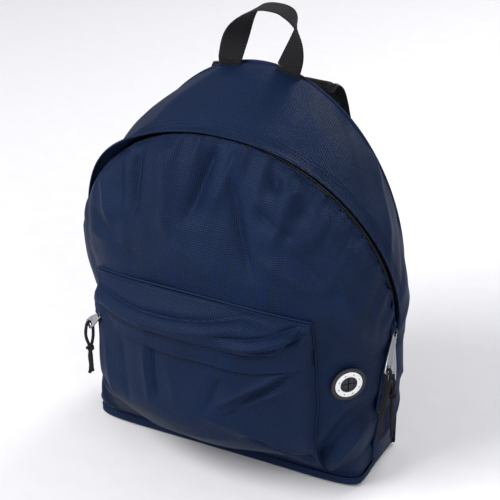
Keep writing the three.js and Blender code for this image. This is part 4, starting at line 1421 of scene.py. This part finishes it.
def port_petal(k, frame):
    """A quarter of the port's centre; the slits between the four let a cable through."""
    origin, X, Y, Z = frame
    a = math.radians(90 * k)
    turned_x, turned_y = math.cos(a) * X + math.sin(a) * Y, -math.sin(a) * X + math.cos(a) * Y
    arc = [(7.2 * math.cos(t), 7.2 * math.sin(t)) for t in np.linspace(0.07, math.pi / 2 - 0.07, 10)]
    outline = rounded([(0.45, 0.45), *arc], 0.3, 3)
    return plate(f"port_petal_{k}", [outline], 1.2, 2.9, 0.3, (origin, turned_x, turned_y, Z), RUBBER)


def port_ticks(frame, count=8, radius=11.3):
    """Small even marks around the light ring."""
    origin, X, Y, Z = frame
    a = ((np.arange(count) + 0.5) / count * TAU)[:, None]
    outward = np.cos(a) * X + np.sin(a) * Y
    sideways = -np.sin(a) * X + np.cos(a) * Y
    base, faces = bead(2.2, 0.42, 8)
    places = origin + outward * radius + Z * 4.12
    return scatter("cable_port_marks", base, faces, places, sideways, outward, np.tile(Z, (count, 1)), RUBBER)


cable_port()


# ---- Back, with its padding and lining ----


def arch_rows(inset, bottom, count, rows, y):
    """A grid over the back's outline, from the bottom edge to the arch."""
    u = np.linspace(-1, 1, count)
    angle = 90 - u * 90
    top = back_point(angle, inset, np.full(count, ARCH_CENTRE[2]))
    foot_x = (BASE_HALF - inset) * np.sin(np.pi / 2 * u)
    v = np.linspace(0, 1, rows)[:, None]
    x = foot_x + (top[:, 0] - foot_x) * v
    z = bottom + (top[:, 2] - bottom) * v
    return stack(x, y, z), u[None] + 0 * v, v + 0 * u[None]


def padded_back():
    P, u, v = arch_rows(0.4, 0.4, 161, 141, BACK_Y - 0.6)
    x, z = P[..., 0], P[..., 2]
    edge = np.minimum(np.minimum(1 - np.abs(u), 1 - v) * 150, z)
    pad = 2.4 * smooth((edge - 9) / 14)
    for place in (-52, 52):
        groove = bump((x - place * (1 - 0.15 * z / 390)) / 3.2)
        pad = pad - 2.0 * groove * smooth((z - 30) / 20) * smooth((330 - z) / 20)
    push = pad + 0.5 * ripple(x, z, 60, 31) * smooth(edge / 12)
    P[..., 1] += np.minimum(push, 2.2) * clear_of_hardware(x, z)
    return P


def clear_of_hardware(x, z):
    """Flat where the straps' webbing and the side tabs are sewn on."""
    yoke = smooth((z - 330) / 10) * smooth((78 - np.abs(x)) / 8)
    tabs = smooth((60 - z) / 10) * smooth((np.abs(x) - 100) / 10)
    return 1 - np.clip(yoke + tabs, 0, 1)


back_P = padded_back()
on(cloth_sheet("back_panel_cloth", back_P, NAVY, (0, 1, 0)), "bag", "navy_fabric", "back_panel")


def back_seam():
    """The taped edge around the back panel."""
    sides = np.linspace(2, ARCH_CENTRE[2], 60)
    right = stack(np.full(60, BACK_HALF) - 2 * (1 - sides / ARCH_CENTRE[2]), BACK_Y - 0.4, sides)
    arch = back_point(np.linspace(0, 180, 160), 0.2, np.full(160, ARCH_CENTRE[2])) - [0, 0.4, 0]
    path = np.vstack([right, arch[1:-1], right[::-1] * [-1, 1, 1]])
    piping("back_edge_roll", path, 1.5)


back_seam()


def inner_sheet(name, inset, bottom, y, thick, node, material, slot_name, amount):
    P, u, v = arch_rows(inset, bottom, 81, 71, y)
    edge = smooth((1 - np.abs(u)) / 0.06) * smooth((1 - v) / 0.06) * smooth(v / 0.06)
    P[..., 1] -= amount * (0.5 + 0.5 * ripple(P[..., 0], P[..., 2], 55, 17)) * edge
    on(cloth_sheet(name, P, material, (0, -1, 0), thick), "bag", slot_name, node)


inner_sheet("back_lining_cloth", 11, 18, 33.4, 0.8, "back_lining", NAVY_INNER, "navy_fabric", 1.4)
inner_sheet("back_foam_sheet", 14, 20, 35.2, 7.0, "back_foam_pad", FOAM, "foam", 0.3)


# ---- Carry handle ----

HANDLE_Y = joints["handle_swing"]["pos_m"][1] / MM
HANDLE_BASE_Z = joints["handle_swing"]["pos_m"][2] / MM
HANDLE_HALF = 34.0
HANDLE_RISE = box_mm("carry_handle")[1][2] - HANDLE_BASE_Z - WEB_THICK / 2
HANDLE_LEAN = 13.0
HANDLE_TUCK = 5.0  # the right foot is sewn this much nearer the middle


def handle_path():
    """The loop's middle line, and the direction across the webbing: it turns to lie flat in the hand."""
    degrees = np.linspace(0, 180, 240)
    a = np.radians(degrees)
    turn = np.pi / 2 * np.minimum(np.sin(a) ** 1.15 * 1.08, 1)
    x = -HANDLE_HALF * np.sign(np.cos(a)) * np.abs(np.cos(a)) ** 0.75
    rise = np.sin(a) ** 0.85
    right_leg = smooth(x / HANDLE_HALF)
    x = x + HANDLE_LEAN * rise + right_leg * (6 * rise * (2 - rise) - HANDLE_TUCK)
    centre = stack(x, HANDLE_Y, HANDLE_BASE_Z + HANDLE_RISE * rise)
    side = np.where(x > 0, -1.0, 1.0)
    across = stack(side * np.cos(turn), np.sin(turn), 0 * a)
    return centre, across


def handle_blend(obj, *nodes):
    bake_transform(obj)
    mark(obj, "black_webbing", *nodes)


def carry_handle():
    centre, across = handle_path()
    s = distances(centre)
    at = np.linspace(0, s[-1], 330)
    centre, across = read_along(centre, s, at), unit(read_along(across, s, at))
    handle_blend(webbing("carry_handle_webbing", centre, across, WEBBING), "carry_handle")
    for name, x in (("left", -HANDLE_HALF), ("right", HANDLE_HALF - HANDLE_TUCK)):
        points = [(x, HANDLE_Y + back, HANDLE_BASE_Z + up) for back, up in ((0, 2), (0.6, -3), (3, -11))]
        foot = webbing(f"handle_foot_{name}", curve_through(points, 1.0), (1.0, 0, 0), WEBBING)
        on(foot, "bag", "black_webbing")


carry_handle()


# ---- Shoulder straps and their hardware ----

PAD_WIDTH = 52.0
PAD_THICK = 11.0
STRAP_TOP = (42, BACK_Y + 15.5, 371)
STRAP_PATH = (
    STRAP_TOP,
    (44, BACK_Y + 27, 371.5),
    (48, BACK_Y + 36, 348),
    (64, BACK_Y + 38, 260),
    (84, BACK_Y + 31, 170),
    (101, BACK_Y + 22, 95),
)


def mirrored(points, side):
    return np.asarray(points, float) * [side, 1, 1]


def strip_grid(path, across, width, thick, sides=36, power=3.2):
    """Rings of a rounded flat section along a path."""
    _, first, second = path_frames(path, across)
    a = np.arange(sides) / sides * TAU
    x = np.sign(np.cos(a)) * np.abs(np.cos(a)) ** (2 / power) * width / 2
    y = np.sign(np.sin(a)) * np.abs(np.sin(a)) ** (2 / power) * thick / 2
    return first, second, np.broadcast_to(np.stack([x, y], -1), (len(path), sides, 2))


def inflate(obj, pressure, cap, frames=20, voxel=5.0):
    """Swells a closed piece as stuffed cloth, and keeps every point within the cap of where it started."""
    remesh = obj.modifiers.new("remesh", "REMESH")
    remesh.mode = "VOXEL"
    remesh.voxel_size = voxel * MM
    bake(obj)
    start = point_array(obj)
    cloth = obj.modifiers.new("cloth", "CLOTH")
    cloth.settings.quality = 6
    cloth.settings.mass = 0.25
    cloth.settings.use_pressure = True
    cloth.settings.uniform_pressure_force = pressure
    cloth.settings.effector_weights.gravity = 0
    scene = bpy.context.scene
    for number in range(1, frames + 1):
        scene.frame_set(number)
    bake(obj)
    scene.frame_set(1)
    end = point_array(obj)
    move = end - start
    length = np.linalg.norm(move, axis=1, keepdims=True)
    end = start + move * np.minimum(1, cap * MM / np.maximum(length, 1e-9))
    obj.data.vertices.foreach_set("co", end.ravel())
    smoother = obj.modifiers.new("subdivision", "SUBSURF")
    smoother.levels = smoother.render_levels = 1
    bake(obj)
    obj.data.polygons.foreach_set("use_smooth", [True] * len(obj.data.polygons))


def point_array(obj):
    co = np.zeros(len(obj.data.vertices) * 3)
    obj.data.vertices.foreach_get("co", co)
    return co.reshape(-1, 3)


def bake(obj):
    """Replaces the mesh with its evaluated one."""
    graph = bpy.context.evaluated_depsgraph_get()
    mesh = bpy.data.meshes.new_from_object(obj.evaluated_get(graph))
    obj.modifiers.clear()
    obj.data = mesh


def shoulder_strap(end, side):
    body = f"strap_{end}"
    path = curve_through(mirrored(STRAP_PATH, side), 4.0)
    across = np.array([1.0, 0, 0])
    first, second, section = strip_grid(path, across, PAD_WIDTH - 12, PAD_THICK - 5)
    pad = ring_sweep(f"strap_pad_{end}_core", path, first, second, section, STRAP_CLOTH)
    inflate(pad, 4.0, 2.4)
    on(pad, body, "black_webbing", f"strap_pad_{end}")

    first, second, section = strip_grid(path, across, PAD_WIDTH - 1, 3.2, power=2.6)
    on(ring_sweep(f"strap_binding_{end}", path, first, second, section, STRAP_CLOTH), body, "black_webbing")
    outward = second * np.sign(second[len(path) // 2, 1])
    for name, offset in (("inner", -1), ("outer", 1)):
        line = path + first * offset * (PAD_WIDTH / 2 - 4.5) + outward * 1.7
        on(stitches(f"strap_stitches_{end}_{name}", line, outward, CORD, lift=0.2), body, "black_webbing")
    centre = path + outward * (PAD_THICK / 2 - 0.6)
    ribbon = curve_through(centre[12::8], 1.1)
    on(webbing(f"strap_webbing_{end}", ribbon, across, WEBBING, thick=1.2), body, "black_webbing")
    strap_hardware(end, side, body, path)


def strap_hardware(end, side, body, path):
    anchor = curve_through(
        mirrored([(40, BACK_Y + 5, 340), (40.5, BACK_Y + 5, 356), (41.5, BACK_Y + 10.5, 366)], side), 2.0
    )
    first, second, section = strip_grid(anchor, (1.0, 0, 0), PAD_WIDTH - 3, 4.6, power=4)
    piece = ring_sweep(f"strap_anchor_{end}_cloth", anchor, first, second, section, STRAP_CLOTH)
    on(piece, "bag", "black_webbing", f"strap_anchor_{end}")

    X = unit(np.array([0.27 * side, -0.17, -1.0]))
    Z = unit(np.array([0, 1.0, -0.17]) - X * (np.array([0, 1.0, -0.17]) @ X))
    frame = (mirrored([104.5, BACK_Y + 19.5, 78], side), X, np.cross(Z, X), Z)
    slots = [box_outline(x - 2.3, -13.3, x + 2.3, 13.3, 1.2) for x in (-9.5, 0.5, 9)]
    outlines = [box_outline(-15, -17, 15, 17, 4), *slots]
    lock = plate(f"ladder_lock_{end}_moulding", outlines, -2, 2, 0.8, frame, PLASTIC)
    on(shade(lock), f"lock_{end}", "black_plastic", f"ladder_lock_{end}")

    start = mirrored([110.5, BACK_Y + 14.5, 57], side)
    finish = mirrored([133, BACK_Y + 5.6, 30], side)
    across = unit(np.array([side * 0.78, 0, 0.63]))
    slot_end = frame[0] + X * 8 + Z * 0.5
    line = curve_through([slot_end, start, (start + finish) / 2, finish], 1.1)
    strip = webbing(f"adjuster_webbing_{end}_strip", line, across, WEBBING)
    on(strip, body, "black_webbing", f"adjuster_webbing_{end}")

    loop = curve_through([path[-1], path[-1] + (frame[0] - path[-1]) * 0.55, frame[0] - X * 7 + Z * 1.4], 1.1)
    on(webbing(f"lock_loop_{end}", loop, (1.0, 0, 0), WEBBING), body, "black_webbing")

    corner = rounded([(149, 8), (149, 48), (112, 8)], 3)
    outline = [(side * x, z) for x, z in corner]
    upright = (np.array([0, BACK_Y + 1.5, 0]), *np.array([[1.0, 0, 0], [0, 0, 1.0], [0, -1.0, 0]]))
    tab = plate(f"side_tab_{end}_cloth", [outline], -1.2, 1.2, 0.5, upright, NAVY)
    on(tab, "bag", "navy_fabric", f"side_tab_{end}")


shoulder_strap("right", 1)
shoulder_strap("left", -1)


def strap_yoke():
    low, high = box_mm("strap_yoke")
    line = stack(np.linspace(low[0], high[0], 120), BACK_Y + 1.1, (low[2] + high[2]) / 2)
    band = webbing("strap_yoke_webbing", line, (0, 0, 1.0), WEBBING, width=high[2] - low[2], thick=1.4)
    on(band, "bag", "black_webbing", "strap_yoke")
    for name, z in (("low", low[2] + 3), ("high", high[2] - 3)):
        row = stack(np.linspace(low[0] + 2, high[0] - 2, 60), BACK_Y + 2.0, z)
        thread = stitches(f"yoke_stitches_{name}", row, np.tile([0, 1.0, 0], (60, 1)), CORD)
        on(thread, "bag", "black_webbing")


strap_yoke()


# ---- Stage ----


def make_stage():
    floor = new_object(
        "floor",
        [(-3000, -3000, -0.5), (3000, -3000, -0.5), (3000, 3000, -0.5), (-3000, 3000, -0.5)],
        [[0, 1, 2, 3]],
        solid_finish("floor_paper", rgb(206, 205, 208), rgb(213, 212, 214), 0.0, 0.85),
    )
    world = bpy.data.worlds.new("studio")
    world.use_nodes = True
    world.node_tree.nodes["Background"].inputs[0].default_value = (0.86, 0.88, 0.92, 1)
    world.node_tree.nodes["Background"].inputs[1].default_value = 0.5
    bpy.context.scene.world = world


def area_light(name, place, aim, size, power):
    light = bpy.data.lights.new(name, "AREA")
    light.shape = "DISK"
    light.size = size
    light.energy = power
    obj = add_object(name, light)
    obj.location = Vector(place)
    obj.rotation_mode = "QUATERNION"
    obj.rotation_quaternion = (Vector(aim) - Vector(place)).to_track_quat("-Z", "Y")


def make_camera():
    """A view turned to the bag's right side and looking down on it."""
    azimuth, elevation = math.radians(27.2), math.radians(27.7)
    back = Vector(
        (
            math.sin(azimuth) * math.cos(elevation),
            -math.cos(azimuth) * math.cos(elevation),
            math.sin(elevation),
        )
    )
    camera = bpy.data.cameras.new("camera")
    camera.lens = 121.6
    camera.sensor_width = 36.0
    obj = add_object("camera", camera)
    obj.location = Vector((0.0032, 0.0072, 0.2079)) + back * 1.682
    obj.rotation_mode = "QUATERNION"
    obj.rotation_quaternion = (-back).to_track_quat("-Z", "Y")
    bpy.context.scene.camera = obj


bpy.context.scene.view_settings.view_transform = "Standard"
make_stage()
area_light("key", (-1.1, -1.5, 1.9), (0, 0, 0.2), 1.4, 78)
area_light("fill", (1.7, -1.2, 1.2), (0, 0, 0.2), 1.6, 26)
area_light("rim", (0.4, 1.6, 1.6), (0, 0, 0.25), 1.2, 30)
make_camera()
